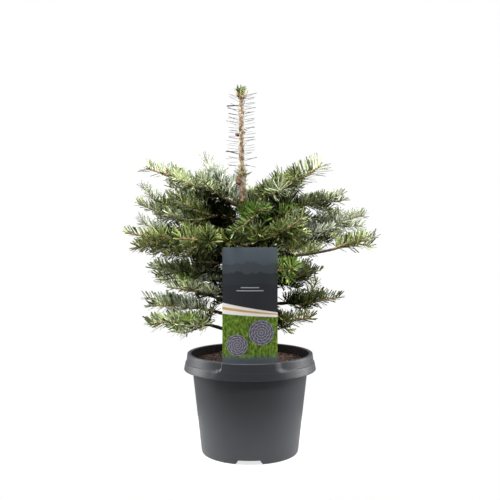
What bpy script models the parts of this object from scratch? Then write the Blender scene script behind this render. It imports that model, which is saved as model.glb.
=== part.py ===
"""A young Korean fir in its nursery pot.

The trunk rises out of potting soil to a bare leader. Boughs leave it in loose whorls, and each
bough carries one mass of needles on a stem with forked side twigs. A curved plant label stands
in a pocket of the pot's collar.
"""

import math
import random

import bmesh
import bpy
import numpy as np
from mathutils import Matrix, Vector

MM = 0.001
GAP = 0.3 * MM  # clearance between solids that touch
WELD = 0.02 * MM
TURNED_STEPS = 40

# Pot: a 19 cm nursery pot with a flared collar, radii and heights in metres
POT_HEIGHT = 143.8 * MM
COLLAR_RADIUS = 95.0 * MM
COLLAR_FOOT = 120.6 * MM
COLLAR_STEP = 132.0 * MM
RIM_INNER_RADIUS = 85.0 * MM
RIM_OUTER_RADIUS = 90.2 * MM
RIM_UNDERSIDE = 139.4 * MM
BODY_TOP_RADIUS = 84.0 * MM
BODY_TOP = 130.0 * MM
BASE_RADIUS = 69.6 * MM
BASE_ROUNDING = 4.0 * MM
WALL = 1.8 * MM
FLOOR_UNDERSIDE = 6.6 * MM
FLOOR_TOP = 8.6 * MM
FOOT_RING_INNER_RADIUS = 61.0 * MM
CENTRE_PAD_RADIUS = 20.0 * MM

# Drainage: notches through the foot ring, and holes in the raised floor between ring and pad
NOTCH_COUNT = 3
NOTCH_FIRST_AZIMUTH = 269.0
NOTCH_TOP_WIDTH = 21.0 * MM
NOTCH_FOOT_WIDTH = 29.0 * MM
NOTCH_HEIGHT = 6.0 * MM
NOTCH_REACH = (42.5 * MM, 92.5 * MM)  # distance of the notch's ends from the pot's axis
DRAIN_COUNT = 4
DRAIN_RADIUS = 4.5 * MM
DRAIN_CIRCLE_RADIUS = 42.0 * MM

# Label pocket, a raised boss on the front of the collar, and the label that stands in it
FRONT = 270.0
POCKET_HALF_ANGLE = 25.5
POCKET_OUTER_RADIUS = 93.6 * MM
LABEL_RADIUS = 88.7 * MM
LABEL_THICKNESS = 0.8 * MM
LABEL_TOP = 299.0 * MM
LABEL_HALF_ANGLE = 24.6
LABEL_TONGUE_FOOT = 128.0 * MM
LABEL_SPANS = 8
LABEL_ROOM = 4.5 * MM  # kept clear of needles in front of and behind the card
SLOT_FOOT = 127.0 * MM
SLOT_HALF_ANGLE = 19.4
SLOT_WIDTH = 1.8 * MM

# Soil, slightly heaped towards the trunk
SOIL_EDGE_HEIGHT = 133.0 * MM
SOIL_HEAP_HEIGHT = 137.4 * MM

# Trunk: height, sideways and depth offset of its centre, and radius, all in millimetres. Its foot
# is cut flat, just clear of the top of the soil.
TRUNK_TIP = 516.0 * MM
TRUNK_STATIONS = (
    (137.7, 0.0, 0.0, 10.0),
    (142.0, 0.0, 0.0, 8.2),
    (152.0, -0.4, 0.2, 7.2),
    (200.0, -1.8, 0.6, 6.8),
    (262.0, -3.6, 1.0, 6.4),
    (310.0, -5.4, 1.6, 6.0),
    (352.0, -8.0, 2.0, 5.6),
    (372.0, -10.0, 2.0, 4.9),
    (404.0, -11.8, 1.6, 4.6),
    (412.0, -12.2, 1.5, 3.9),
    (460.0, -12.0, 0.8, 3.8),
    (508.0, -12.5, 0.5, 3.6),
    (516.0, -12.5, 0.5, 2.2),
)

# Boughs. Height of the root on the trunk, azimuth (0 is right, 270 is front), length, slope at
# root and tip, turn of heading along it, length of the bare limb, and side twig length as a
# share of what lies beyond the fork. Millimetres and degrees. Those with no bare limb are short
# shoots between the whorls, and their mass meets the trunk itself.
BOUGH_FIELDS = ("name", "height", "azimuth", "length", "rise", "lift", "sweep", "bare", "fan")
BOUGHS = tuple(
    dict(zip(BOUGH_FIELDS, row))
    for row in (
        ("top_left", 350, 184, 147, 25, 14, 4, 26, 0.52),
        ("top_rear_left", 354, 126, 122, 26, 42, 0, 26, 0.48),
        ("top_rear", 348, 72, 104, 14, 20, 0, 26, 0.52),
        ("top_right_rear", 342, 14, 153, 9, 14, 4, 32, 0.50),
        ("top_right", 352, 347, 120, 27, 24, 6, 24, 0.48),
        ("top_front", 346, 287, 92, -4, 10, 0, 24, 0.52),
        ("mid_left", 305, 196, 170, -2, 10, -6, 34, 0.55),
        ("mid_left_rear", 312, 166, 168, 10, 22, 6, 34, 0.66),
        ("mid_front_left", 300, 232, 134, -4, 12, -4, 30, 0.50),
        ("mid_front_right", 298, 306, 126, 8, 28, 4, 30, 0.45),
        ("mid_right", 282, 352, 184, 2, 18, 6, 60, 0.50),
        ("mid_right_rear", 300, 24, 192, 6, 22, -4, 40, 0.54),
        ("mid_rear_right", 306, 64, 158, 6, 20, 0, 34, 0.55),
        ("mid_rear_left", 302, 112, 160, 6, 22, 0, 34, 0.55),
        ("low_left", 262, 190, 136, -4, 8, 0, 40, 0.58),
        ("low_front_left", 198, 214, 132, 24, 6, 0, 56, 0.50),
        ("low_front_right", 262, 300, 122, 0, 10, 0, 40, 0.50),
        ("low_right", 214, 8, 136, -2, 8, 2, 50, 0.52),
        ("low_rear_right", 248, 48, 144, 2, 14, 0, 44, 0.56),
        ("low_rear_left", 240, 140, 150, 2, 14, 0, 44, 0.56),
        ("foot_left", 190, 178, 154, 10, 14, -2, 56, 0.50),
        ("foot_front_left", 160, 204, 148, 16, 6, -2, 62, 0.45),
        ("foot_right", 184, 334, 96, 6, 10, 0, 36, 0.45),
        ("foot_rear", 184, 84, 122, 6, 14, 0, 50, 0.50),
        ("inner_top_left", 334, 212, 84, 4, 16, 0, 0, 0.55),
        ("inner_top_right", 330, 326, 84, 6, 18, 0, 0, 0.55),
        ("inner_left", 276, 222, 88, -4, 8, 0, 0, 0.55),
        ("inner_right", 246, 338, 92, -2, 10, 0, 0, 0.55),
        ("inner_rear", 272, 90, 96, 2, 14, 0, 0, 0.55),
        ("inner_low_left", 226, 168, 96, -2, 10, 0, 0, 0.55),
    )
)
BOUGH_STEPS = 10
LIMB_ROOT_RADIUS = 3.1 * MM
LIMB_TAPER = 0.011  # radius lost for each metre along the limb
LIMB_RINGS = 3

# Side twigs fork in pairs at these places, as shares of the leafy length
FORK_PLACES = (0.04, 0.50)
FORK_ANGLE = 48.0
FORK_JITTER = 7.0
FORK_PLACE_OF_SHORT = 0.20  # how much further out the short shoots fork
SIDE_TWIG_CURL = 14.0
SIDE_TWIG_SLOPE = (0.6, -4.0, 6.0)  # share of the bough's own slope, and the range added to it
SIDE_TWIG_LIFT = 8.0
SIDE_TWIG_SIZE_RANGE = (0.85, 1.15)
SIDE_TWIG_TRIES = (1.0, 0.75, 0.5)
SHORTEST_SIDE_TWIG = 14 * MM

# Each twig is a slim core with fins of needles cut into teeth, which are larger than life because
# they are fewer. A fin's roll is counted from straight up. A stem has one fin more than a side
# twig.
STEM_FINS = (0.0, 115.0, 245.0)
SIDE_FINS = (64.0, 296.0)
FIN_ROLL_JITTER = 9.0
STEM_SPANS = 3
SIDE_SPANS = 1
STEM_CORE_RADIUS = 2.3 * MM
SIDE_CORE_RADIUS = 2.1 * MM
CORE_TAPER = 0.45
TOOTH_PITCH = 12.5 * MM
NEEDLE_LENGTH = 22.0 * MM
WEB_SHARE = 0.36  # of the needle length, where neighbouring needles part
WEB_THICKNESS = 1.3 * MM
NEEDLE_LEAN = 30.0
TIP_LEAN = 26.0
TIP_SHORTENING = 0.25
NEEDLE_LENGTH_RANGE = (0.9, 1.08)
NEEDLE_PLACE_JITTER = 0.12  # of the pitch
TERMINAL_NEEDLE = 10.0 * MM
SHORTER_NEEDLES = (1.0, 0.8, 0.6, 0.42, 0.25)
TOOTH_ROOM = 1.4 * MM
TWIG_ROOM = 3.0 * MM
BARE_FOOT = 11.0 * MM  # of a side twig, where it crosses its stem's own needles

# Leader: sparse level needles, a tuft at the tip, and winter buds
LEADER_FOOT = 418 * MM
LEADER_NEEDLE_LENGTH = 19 * MM
LEADER_NEEDLE_PITCH = 4.6 * MM
LEADER_NEEDLE_TURN = 137.5
LEADER_NEEDLE_JITTER = 12.0
LEADER_NEEDLE_SLOPES = (-2.0, 10.0)
LEADER_NEEDLE_LENGTH_RANGE = (0.85, 1.1)
SPIKE_RADIUS = 1.1 * MM
TUFT_NEEDLES = 9
TUFT_NEEDLE_LENGTH = 13 * MM
TUFT_SLOPES = (38.0, 64.0)
TUFT_MIDDLE_SLOPE = 84.0
TUFT_SLOPE_JITTER = 4.0
BUD_RINGS = ((404.0, 3, 2.6), (511.0, 4, 2.6))  # height, count and radius in millimetres
BUD_FIRST_AZIMUTH = 35.0
BUD_SLOPE = 20.0
BUD_STAND_OFF = 0.35  # of its radius, from the bark to its middle

SEED = 1907


# Geometry of limbs and twigs


def heading(azimuth, elevation):
    """Unit vector that points along a compass angle and a slope, both in degrees."""
    turn, slope = math.radians(azimuth), math.radians(elevation)
    return np.array((math.cos(turn) * math.cos(slope), math.sin(turn) * math.cos(slope), math.sin(slope)))


def arc(start, azimuth, rise, lift, sweep, length, steps):
    """Points along a limb whose slope goes evenly from rise to lift as its heading turns by sweep."""
    points = [np.array(start, float)]
    for step in range(steps):
        share = (step + 0.5) / steps
        course = heading(azimuth + sweep * share, rise + (lift - rise) * share)
        points.append(points[-1] + course * (length / steps))
    return np.array(points)


def along(path, share):
    """The point at a share of a path whose steps are all of one length."""
    place = min(max(share, 0.0), 1.0) * (len(path) - 1)
    step = min(int(place), len(path) - 2)
    return path[step] + (path[step + 1] - path[step]) * (place - step)


def stretch(path, first, last, count):
    """count points of the path, evenly from one share of it to another."""
    return np.array([along(path, share) for share in np.linspace(first, last, count)])


def frame_along(direction):
    """Unit vectors along, up and sideways for a shoot that runs in this direction."""
    ahead = direction / np.linalg.norm(direction)
    side = np.cross(ahead, (0.0, 0.0, 1.0))
    side = side / np.linalg.norm(side)
    return ahead, np.cross(side, ahead), side


def trunk_at(height):
    """Centre and radius of the trunk at a height."""
    heights, sideways, depth, radius = (np.array(column) * MM for column in zip(*TRUNK_STATIONS))
    centre = np.array((np.interp(height, heights, sideways), np.interp(height, heights, depth), height))
    return centre, float(np.interp(height, heights, radius))


# Room: rods that stand for what is placed, so that no mass reaches into another


class Room:
    """Remembers limbs, twigs and needles as rods with a radius, and says where a new one fits."""

    def __init__(self):
        self.starts = []
        self.ends = []
        self.radii = []
        self.owners = []
        self.twigs = []

    def add(self, owner, twig, start, end, radius):
        self.starts.append(start)
        self.ends.append(end)
        self.radii.append(radius)
        self.owners.append(owner)
        self.twigs.append(twig)

    def add_path(self, owner, twig, path, radius):
        for start, end in zip(path[:-1], path[1:]):
            self.add(owner, twig, start, end, radius)

    def clearances(self, start, end):
        """Distance from one segment to the surface of every rod, sampled along the segment."""
        starts, ends = np.array(self.starts), np.array(self.ends)
        spans = ends - starts
        lengths = np.maximum((spans**2).sum(axis=1), 1e-12)
        nearest = np.full(len(starts), np.inf)
        for share in np.linspace(0.0, 1.0, 9):
            point = start + (end - start) * share
            place = np.clip(((point - starts) * spans).sum(axis=1) / lengths, 0.0, 1.0)
            gap = np.linalg.norm(point - starts - spans * place[:, None], axis=1)
            nearest = np.minimum(nearest, gap)
        return nearest - np.array(self.radii)

    def fits(self, owner, twig, start, end, radius):
        """True if a rod stays clear of other owners' rods, and of its owner's other twigs."""
        if not self.starts:
            return True
        clear = self.clearances(start, end) - radius
        foreign = np.array([rod != owner for rod in self.owners])
        sibling = ~foreign & np.array([rod != twig for rod in self.twigs])
        return bool((clear[foreign] > 2 * GAP).all() and (clear[sibling] > 0).all())


# Scene and materials


def clear_scene():
    for item in list(bpy.data.objects):
        bpy.data.objects.remove(item, do_unlink=True)


def new_collection(name):
    collection = bpy.data.collections.new(name)
    bpy.context.scene.collection.children.link(collection)
    return collection


def material(name, colour, roughness):
    made = bpy.data.materials.new(name)
    made.use_nodes = True
    shader = made.node_tree.nodes["Principled BSDF"]
    shader.inputs["Base Color"].default_value = (*colour, 1.0)
    shader.inputs["Roughness"].default_value = roughness
    shader.inputs["Metallic"].default_value = 0.0
    return made


def add_mesh(bm, name, collection, surface=None):
    """Turns a bmesh into a named object of the collection."""
    mesh = bpy.data.meshes.new(name)
    bm.to_mesh(mesh)
    bm.free()
    made = bpy.data.objects.new(name, mesh)
    if surface:
        mesh.materials.append(surface)
    collection.objects.link(made)
    return made


def as_helper(made):
    """Marks a cutter, guide or piece to be joined, which is not a part of its own."""
    made.hide_render = True
    made.display_type = "WIRE"
    return made


def evaluated_mesh(made):
    graph = bpy.context.evaluated_depsgraph_get()
    return bpy.data.meshes.new_from_object(made.evaluated_get(graph))


def add_boolean(target, operation, other):
    cut = target.modifiers.new(f"{operation.lower()} {other.name}", "BOOLEAN")
    cut.operation = operation
    cut.object = other
    cut.solver = "EXACT"


def join_by_union(name, first, others, collection, surface):
    """One solid from a first piece and those that overlap it, by a union on their collection."""
    group = new_collection(f"{name}_pieces")
    for piece in others:
        group.objects.link(as_helper(piece))
    if others:
        union = first.modifiers.new("join", "BOOLEAN")
        union.operation = "UNION"
        union.operand_type = "COLLECTION"
        union.collection = group
        union.solver = "MANIFOLD"
    mesh = evaluated_mesh(first)
    for piece in (first, *others):
        bpy.data.objects.remove(piece, do_unlink=True)
    bpy.data.collections.remove(group)
    mesh.name = name
    mesh.materials.clear()
    mesh.materials.append(surface)
    joined = bpy.data.objects.new(name, largest_body(mesh))
    collection.objects.link(joined)
    return joined


def largest_body(mesh):
    """Drops any loose scrap, so that one connected body is left."""
    bm = bmesh.new()
    bm.from_mesh(mesh)
    bodies = []
    seen = set()
    for vertex in bm.verts:
        if vertex in seen:
            continue
        body = [vertex]
        seen.add(vertex)
        for member in body:
            for edge in member.link_edges:
                other = edge.other_vert(member)
                if other not in seen:
                    seen.add(other)
                    body.append(other)
        bodies.append(body)
    bodies.sort(key=len)
    scrap = [vertex for body in bodies[:-1] for vertex in body]
    bmesh.ops.delete(bm, geom=scrap, context="VERTS")
    bm.to_mesh(mesh)
    bm.free()
    return mesh


# Pot, soil and label


def quarter(centre, radius, first, last, count):
    """Points on an arc about a centre, angles in degrees."""
    angles = np.radians(np.linspace(first, last, count))
    return [(centre[0] + radius * math.cos(a), centre[1] + radius * math.sin(a)) for a in angles]


def pot_profile():
    """Half section of the pot from the middle of its floor, up the inside and down the outside."""
    inner_foot = (BASE_RADIUS - WALL, FLOOR_TOP)
    inner_top = (BODY_TOP_RADIUS - WALL, BODY_TOP)
    rim_width = (RIM_OUTER_RADIUS - RIM_INNER_RADIUS) / 2
    crown = (RIM_INNER_RADIUS + rim_width, POT_HEIGHT - rim_width)
    base = (BASE_RADIUS - BASE_ROUNDING, BASE_ROUNDING)
    step = 1.3 * MM
    lip = 1.7 * MM
    return [
        (0.0, FLOOR_TOP),
        inner_foot,
        inner_top,
        *quarter(crown, rim_width, 180, 0, 5),
        (RIM_OUTER_RADIUS + step, COLLAR_STEP),
        (RIM_OUTER_RADIUS + 2 * step, COLLAR_STEP - step),
        (COLLAR_RADIUS, COLLAR_FOOT + lip),
        (COLLAR_RADIUS - 0.5 * MM, COLLAR_FOOT),
        (COLLAR_RADIUS - lip, COLLAR_FOOT),
        (RIM_OUTER_RADIUS, COLLAR_STEP),
        (RIM_OUTER_RADIUS - 2 * step, RIM_UNDERSIDE),
        (BODY_TOP_RADIUS + 0.4 * MM, RIM_UNDERSIDE),
        (BODY_TOP_RADIUS, BODY_TOP),
        *quarter(base, BASE_ROUNDING, 0, -90, 3),
        (FOOT_RING_INNER_RADIUS, 0.0),
        (FOOT_RING_INNER_RADIUS - step, FLOOR_UNDERSIDE),
        (CENTRE_PAD_RADIUS + step, FLOOR_UNDERSIDE),
        (CENTRE_PAD_RADIUS, 0.0),
        (0.0, 0.0),
    ]


def turned(name, profile, collection, surface):
    """A solid turned about the vertical axis from a half section that starts and ends on it."""
    bm = bmesh.new()
    points = [bm.verts.new((radius, 0.0, height)) for radius, height in profile]
    for first, second in zip(points[:-1], points[1:]):
        bm.edges.new((first, second))
    made = add_mesh(bm, name, collection, surface)
    screw = made.modifiers.new("turn", "SCREW")
    screw.steps = TURNED_STEPS
    screw.render_steps = TURNED_STEPS
    screw.use_merge_vertices = True
    screw.merge_threshold = WELD
    made.data.shade_smooth()
    return made


def ring_sector(name, corners, half_angle, steps, collection):
    """Part of a ring about the vertical axis, centred on the front, with the section given."""
    bm = bmesh.new()
    face = bm.faces.new([bm.verts.new((radius, 0.0, height)) for radius, height in corners])
    bmesh.ops.rotate(bm, verts=bm.verts, matrix=Matrix.Rotation(math.radians(FRONT - half_angle), 3, "Z"))
    bmesh.ops.spin(
        bm,
        geom=[face, *face.edges, *face.verts],
        cent=(0, 0, 0),
        axis=(0, 0, 1),
        angle=math.radians(2 * half_angle),
        steps=steps,
    )
    bmesh.ops.recalc_face_normals(bm, faces=bm.faces)
    return as_helper(add_mesh(bm, name, collection))


def pocket_boss(cutters):
    """The raised part of the collar that holds the label."""
    corners = (
        (RIM_OUTER_RADIUS - 3 * MM, COLLAR_FOOT + 4 * MM),
        (POCKET_OUTER_RADIUS + 0.8 * MM, COLLAR_FOOT + 4 * MM),
        (POCKET_OUTER_RADIUS, POT_HEIGHT - 2 * MM),
        (POCKET_OUTER_RADIUS - 2 * MM, POT_HEIGHT - 0.1 * MM),
        (RIM_INNER_RADIUS + 1.2 * MM, POT_HEIGHT - 0.1 * MM),
    )
    return ring_sector("pocket_boss", corners, POCKET_HALF_ANGLE, 10, cutters)


def label_slot(cutters):
    """The narrow curved slot in the pocket that takes the label's tongue."""
    inner = LABEL_RADIUS - SLOT_WIDTH / 2
    outer = LABEL_RADIUS + SLOT_WIDTH / 2
    top = POT_HEIGHT + 5 * MM
    corners = ((inner, SLOT_FOOT), (outer, SLOT_FOOT), (outer, top), (inner, top))
    return ring_sector("label_slot", corners, SLOT_HALF_ANGLE, 8, cutters)


def drain_notch(index, cutters):
    """A wedge that cuts one drainage notch through the foot ring."""
    bm = bmesh.new()
    bmesh.ops.create_cube(bm, size=1.0)
    for vertex in bm.verts:
        top = vertex.co.z > 0
        vertex.co.x = NOTCH_REACH[vertex.co.x > 0]
        vertex.co.y *= NOTCH_TOP_WIDTH if top else NOTCH_FOOT_WIDTH
        vertex.co.z = NOTCH_HEIGHT if top else -1 * MM
    made = as_helper(add_mesh(bm, f"drain_notch_{index}", cutters))
    made.rotation_euler.z = math.radians(NOTCH_FIRST_AZIMUTH + index * 360 / NOTCH_COUNT)
    return made


def drain_hole(index, cutters):
    """A round cutter for one drain hole in the raised floor."""
    turn = math.radians(NOTCH_FIRST_AZIMUTH + (index + 0.5) * 360 / DRAIN_COUNT)
    place = Vector((math.cos(turn), math.sin(turn), 0.0)) * DRAIN_CIRCLE_RADIUS
    place.z = FLOOR_TOP / 2
    bm = bmesh.new()
    bmesh.ops.create_cone(
        bm,
        cap_ends=True,
        segments=8,
        radius1=DRAIN_RADIUS,
        radius2=DRAIN_RADIUS,
        depth=4 * FLOOR_TOP,
        matrix=Matrix.Translation(place),
    )
    return as_helper(add_mesh(bm, f"drain_hole_{index}", cutters))


def make_pot(parts, cutters, surface):
    pot = turned("pot", pot_profile(), parts, surface)
    add_boolean(pot, "UNION", pocket_boss(cutters))
    add_boolean(pot, "DIFFERENCE", label_slot(cutters))
    for index in range(NOTCH_COUNT):
        add_boolean(pot, "DIFFERENCE", drain_notch(index, cutters))
    for index in range(DRAIN_COUNT):
        add_boolean(pot, "DIFFERENCE", drain_hole(index, cutters))
    return pot


def make_soil(parts, surface):
    """Potting soil that fills the pot to just below its rim."""
    wall_slope = (BODY_TOP_RADIUS - BASE_RADIUS) / (BODY_TOP - FLOOR_TOP)
    inside = WALL + 2 * GAP
    foot_radius = BASE_RADIUS - inside
    shoulder = SOIL_EDGE_HEIGHT - 3 * MM
    shoulder_radius = foot_radius + wall_slope * (shoulder - FLOOR_TOP)
    profile = [
        (0.0, SOIL_HEAP_HEIGHT),
        (20 * MM, SOIL_HEAP_HEIGHT - 0.2 * MM),
        (50 * MM, SOIL_EDGE_HEIGHT + 2.4 * MM),
        (shoulder_radius - 3 * MM, SOIL_EDGE_HEIGHT),
        (shoulder_radius, shoulder),
        (foot_radius, FLOOR_TOP + GAP),
        (0.0, FLOOR_TOP + GAP),
    ]
    return turned("soil", profile, parts, surface)


def make_label(parts, surface):
    """A thin card bent to the curve of the collar, with a narrower tongue in the pocket's slot."""
    rows = (LABEL_TONGUE_FOOT, POT_HEIGHT + GAP, LABEL_TOP)
    bm = bmesh.new()
    bmesh.ops.create_grid(bm, x_segments=LABEL_SPANS, y_segments=len(rows) - 1, size=1.0)
    beside_tongue = [
        face
        for face in bm.faces
        if face.calc_center_median().y < 0 and abs(face.calc_center_median().x) > 1 - 1.5 / LABEL_SPANS
    ]
    bmesh.ops.delete(bm, geom=beside_tongue, context="FACES")
    for vertex in bm.verts:
        turn = math.radians(FRONT + vertex.co.x * LABEL_HALF_ANGLE)
        row = round(vertex.co.y + 1)
        vertex.co = (LABEL_RADIUS * math.cos(turn), LABEL_RADIUS * math.sin(turn), rows[row])
    bmesh.ops.recalc_face_normals(bm, faces=bm.faces)
    label = add_mesh(bm, "label", parts, surface)
    thickness = label.modifiers.new("thickness", "SOLIDIFY")
    thickness.thickness = LABEL_THICKNESS
    thickness.offset = 0.0
    return label


# Trunk, limbs and twigs


def tube(name, path, radii, resolution, collection):
    """A tapering tube through the points of a path, as a closed mesh with its caps welded on."""
    curve = bpy.data.curves.new(name, "CURVE")
    curve.dimensions = "3D"
    curve.twist_mode = "Z_UP"
    curve.use_fill_caps = True
    curve.bevel_depth = 1.0
    curve.bevel_resolution = resolution
    spline = curve.splines.new("POLY")
    spline.points.add(len(path) - 1)
    for point, place, radius in zip(spline.points, path, radii):
        point.co = (*place, 1.0)
        point.radius = radius
    guide = bpy.data.objects.new(f"{name}_guide", curve)
    collection.objects.link(guide)
    mesh = evaluated_mesh(guide)
    bpy.data.objects.remove(guide, do_unlink=True)
    bpy.data.curves.remove(curve)
    bm = bmesh.new()
    bm.from_mesh(mesh)
    bpy.data.meshes.remove(mesh)
    bmesh.ops.remove_doubles(bm, verts=bm.verts, dist=WELD)
    bmesh.ops.recalc_face_normals(bm, faces=bm.faces)
    return add_mesh(bm, name, collection)


def point_mesh(name, root, course, length, collection):
    """A single needle: a three-sided point that starts at its root and tapers to nothing."""
    _, normal, side = frame_along(course)
    axes = Matrix([[*column] for column in zip(side, normal, course)]).to_4x4()
    place = Matrix.Translation(Vector(root)) @ axes @ Matrix.Translation((0, 0, length / 2))
    bm = bmesh.new()
    bmesh.ops.create_cone(
        bm, cap_ends=True, segments=3, radius1=SPIKE_RADIUS, radius2=0.0, depth=length, matrix=place
    )
    bmesh.ops.recalc_face_normals(bm, faces=bm.faces)
    return add_mesh(bm, name, collection)


def bud_mesh(name, place, radius, collection):
    """A small round winter bud."""
    bm = bmesh.new()
    bmesh.ops.create_icosphere(bm, subdivisions=1, radius=radius, matrix=Matrix.Translation(Vector(place)))
    return add_mesh(bm, name, collection)


def frame_at(path, share):
    """Unit vectors along, up and sideways at a share of a path."""
    return frame_along(along(path, share + 0.05) - along(path, share - 0.05))


def needle_course(ahead, up, side, roll, lean):
    """Direction of a needle that leaves a twig at a roll about it, leaning towards its tip."""
    turn, tilt = math.radians(roll), math.radians(lean)
    outward = up * math.cos(turn) + side * math.sin(turn)
    return outward * math.cos(tilt) + ahead * math.sin(tilt)


def bough_path(bough):
    centre, _ = trunk_at(bough["height"] * MM)
    return arc(
        centre,
        bough["azimuth"],
        bough["rise"],
        bough["lift"],
        bough["sweep"],
        bough["length"] * MM,
        BOUGH_STEPS,
    )


def limb_radius(distance):
    return LIMB_ROOT_RADIUS - LIMB_TAPER * distance


def root_distance(bough):
    """How far from the trunk's centre the round root of a bough just clears the leaning trunk."""
    start, distance = trunk_at(bough["height"] * MM)
    course, up, side = frame_along(heading(bough["azimuth"], bough["rise"]))
    turns = np.radians(np.arange(0, 360, 30))
    rim = np.outer(np.cos(turns), up) + np.outer(np.sin(turns), side)
    while True:
        for place in start + course * distance + rim * LIMB_ROOT_RADIUS:
            centre, radius = trunk_at(place[2])
            if np.linalg.norm((place - centre)[:2]) < radius + GAP:
                break
        else:
            return distance
        distance += GAP / 4


def limb_shares(bough):
    """Where a bough leaves the trunk and where its mass begins, as shares of its path."""
    clear = root_distance(bough)
    length = bough["length"] * MM
    return clear / length, max(clear, bough["bare"] * MM) / length


def side_twigs(bough, path, room, rng):
    """Paths of the side twigs that leave the bough's stem in pairs, kept clear of other boughs."""
    found = {}
    length = bough["length"]
    slope_share, *slope_range = SIDE_TWIG_SLOPE
    _, first = limb_shares(bough)
    for place in FORK_PLACES:
        share = first + (place + FORK_PLACE_OF_SHORT * (bough["bare"] == 0)) * (1 - first)
        slope = bough["rise"] + (bough["lift"] - bough["rise"]) * share
        beyond = length * (1 - share) * MM
        for side in (-1, 1):
            turn = side * (FORK_ANGLE + rng.uniform(-FORK_JITTER, FORK_JITTER))
            size = beyond * bough["fan"] * rng.uniform(*SIDE_TWIG_SIZE_RANGE)
            rise = slope * slope_share + rng.uniform(*slope_range)
            azimuth = bough["azimuth"] + bough["sweep"] * share + turn
            curl = -side * SIDE_TWIG_CURL
            for shorter in SIDE_TWIG_TRIES:
                reach = size * shorter
                twig = arc(along(path, share), azimuth, rise, slope + SIDE_TWIG_LIFT, curl, reach, SIDE_SPANS)
                free = room.fits(bough["name"], None, along(twig, 0.3), twig[-1], TWIG_ROOM)
                if free and reach > SHORTEST_SIDE_TWIG:
                    name = f"side_{len(found)}"
                    found[name] = twig
                    room.add_path(bough["name"], name, twig, TWIG_ROOM)
                    break
    return found


def fin_outline(owner, twig, path, roll, first, teeth, room, rng):
    """Tips of the needles in one fin, and the pairs of points where two neighbours part."""
    tips = []
    forks = []
    for place in range(2 * teeth - 1):
        is_tip = place % 2 == 0
        row = (place + 1) / 2 + rng.uniform(-NEEDLE_PLACE_JITTER, NEEDLE_PLACE_JITTER)
        share = first + (1 - first) * row / teeth
        ahead, up, side = frame_at(path, share)
        course = needle_course(ahead, up, side, roll, NEEDLE_LEAN + TIP_LEAN * share)
        reach = NEEDLE_LENGTH * (1 - TIP_SHORTENING * share**2) * rng.uniform(*NEEDLE_LENGTH_RANGE)
        if not is_tip:
            reach *= WEB_SHARE
        root = along(path, share)
        for shorter in SHORTER_NEEDLES:
            end = root + course * reach * shorter
            if room.fits(owner, twig, root + course * TOOTH_ROOM, end, TOOTH_ROOM):
                break
        room.add(owner, twig, root, end, TOOTH_ROOM)
        if is_tip:
            tips.append(end)
        else:
            across = np.cross(ahead, course)
            across = across / np.linalg.norm(across) * WEB_THICKNESS / 2
            forks.append((end - across, end + across))
    return tips, forks


def add_fin_side(bm, groove, edge, tips):
    """One side of a fin: its teeth, and the web between the core's groove and the teeth's feet."""
    for low, tip, high in zip(edge[:-1], tips, edge[1:]):
        bm.faces.new((low, tip, high))
    teeth, spans = len(edge) - 1, len(groove) - 1
    tooth, span = 0, 0
    while tooth < teeth - 1 or span < spans - 1:
        if span == spans - 1 or (tooth < teeth - 1 and (tooth + 1) / teeth <= (span + 1) / spans):
            bm.faces.new((groove[span], edge[tooth], edge[tooth + 1]))
            tooth += 1
        else:
            bm.faces.new((groove[span], groove[span + 1], edge[tooth]))
            span += 1
    bm.faces.new((groove[span], edge[tooth], edge[tooth + 1]))


def toothed_twig(name, owner, twig, path, fins, core_radius, room, rng, collection):
    """A twig with its needles: a slim core with fins cut into teeth, all tapering to one point."""
    length = float(np.linalg.norm(np.diff(path, axis=0), axis=1).sum())
    first = 0.0 if twig == "stem" else BARE_FOOT / length
    teeth = max(3, round(length * (1 - first) / TOOTH_PITCH))
    spans = len(path) - 1
    turn = rng.uniform(-FIN_ROLL_JITTER, FIN_ROLL_JITTER)
    rolls = [roll + turn for roll in fins]
    bm = bmesh.new()

    def on_core(share, roll):
        course = needle_course(*frame_at(path, share), roll, 0.0)
        return bm.verts.new(along(path, share) + course * core_radius * (1 - CORE_TAPER * share))

    ahead, _, _ = frame_at(path, 1.0)
    apex = bm.verts.new(path[-1] + ahead * TERMINAL_NEEDLE)
    starts = [on_core(0.0, roll) for roll in rolls]
    grooves = []
    for roll, following in zip(rolls, (*rolls[1:], rolls[0] + 360)):
        between = (roll + following) / 2
        grooves.append([*(on_core(span / spans, between) for span in range(spans)), apex])
    for index, roll in enumerate(rolls):
        tips, forks = fin_outline(owner, twig, path, roll, first, teeth, room, rng)
        tips = [bm.verts.new(tip) for tip in tips]
        forks = [[bm.verts.new(point) for point in pair] for pair in forks]
        for side, groove in enumerate((grooves[index - 1], grooves[index])):
            add_fin_side(bm, groove, [starts[index], *(pair[side] for pair in forks), apex], tips)
        for before, pair, after in zip(tips[:-1], forks, tips[1:]):
            bm.faces.new((before, *pair))
            bm.faces.new((after, *pair))
    bm.faces.new([vertex for pair in zip(starts, (groove[0] for groove in grooves)) for vertex in pair])
    bmesh.ops.recalc_face_normals(bm, faces=bm.faces)
    return add_mesh(bm, name, collection)


def make_limb(bough, path, parts, surface):
    """The bare, tapering part of one bough, from the trunk to where its needles begin."""
    first, last = limb_shares(bough)
    length = bough["length"] * MM
    shares = np.linspace(first, last - GAP / length, LIMB_RINGS)
    points = [along(path, share) for share in shares]
    radii = [limb_radius(share * length) for share in shares]
    limb = tube(f"bough_{bough['name']}", points, radii, 1, parts)
    limb.data.materials.append(surface)
    limb.data.shade_smooth()
    return limb


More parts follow.
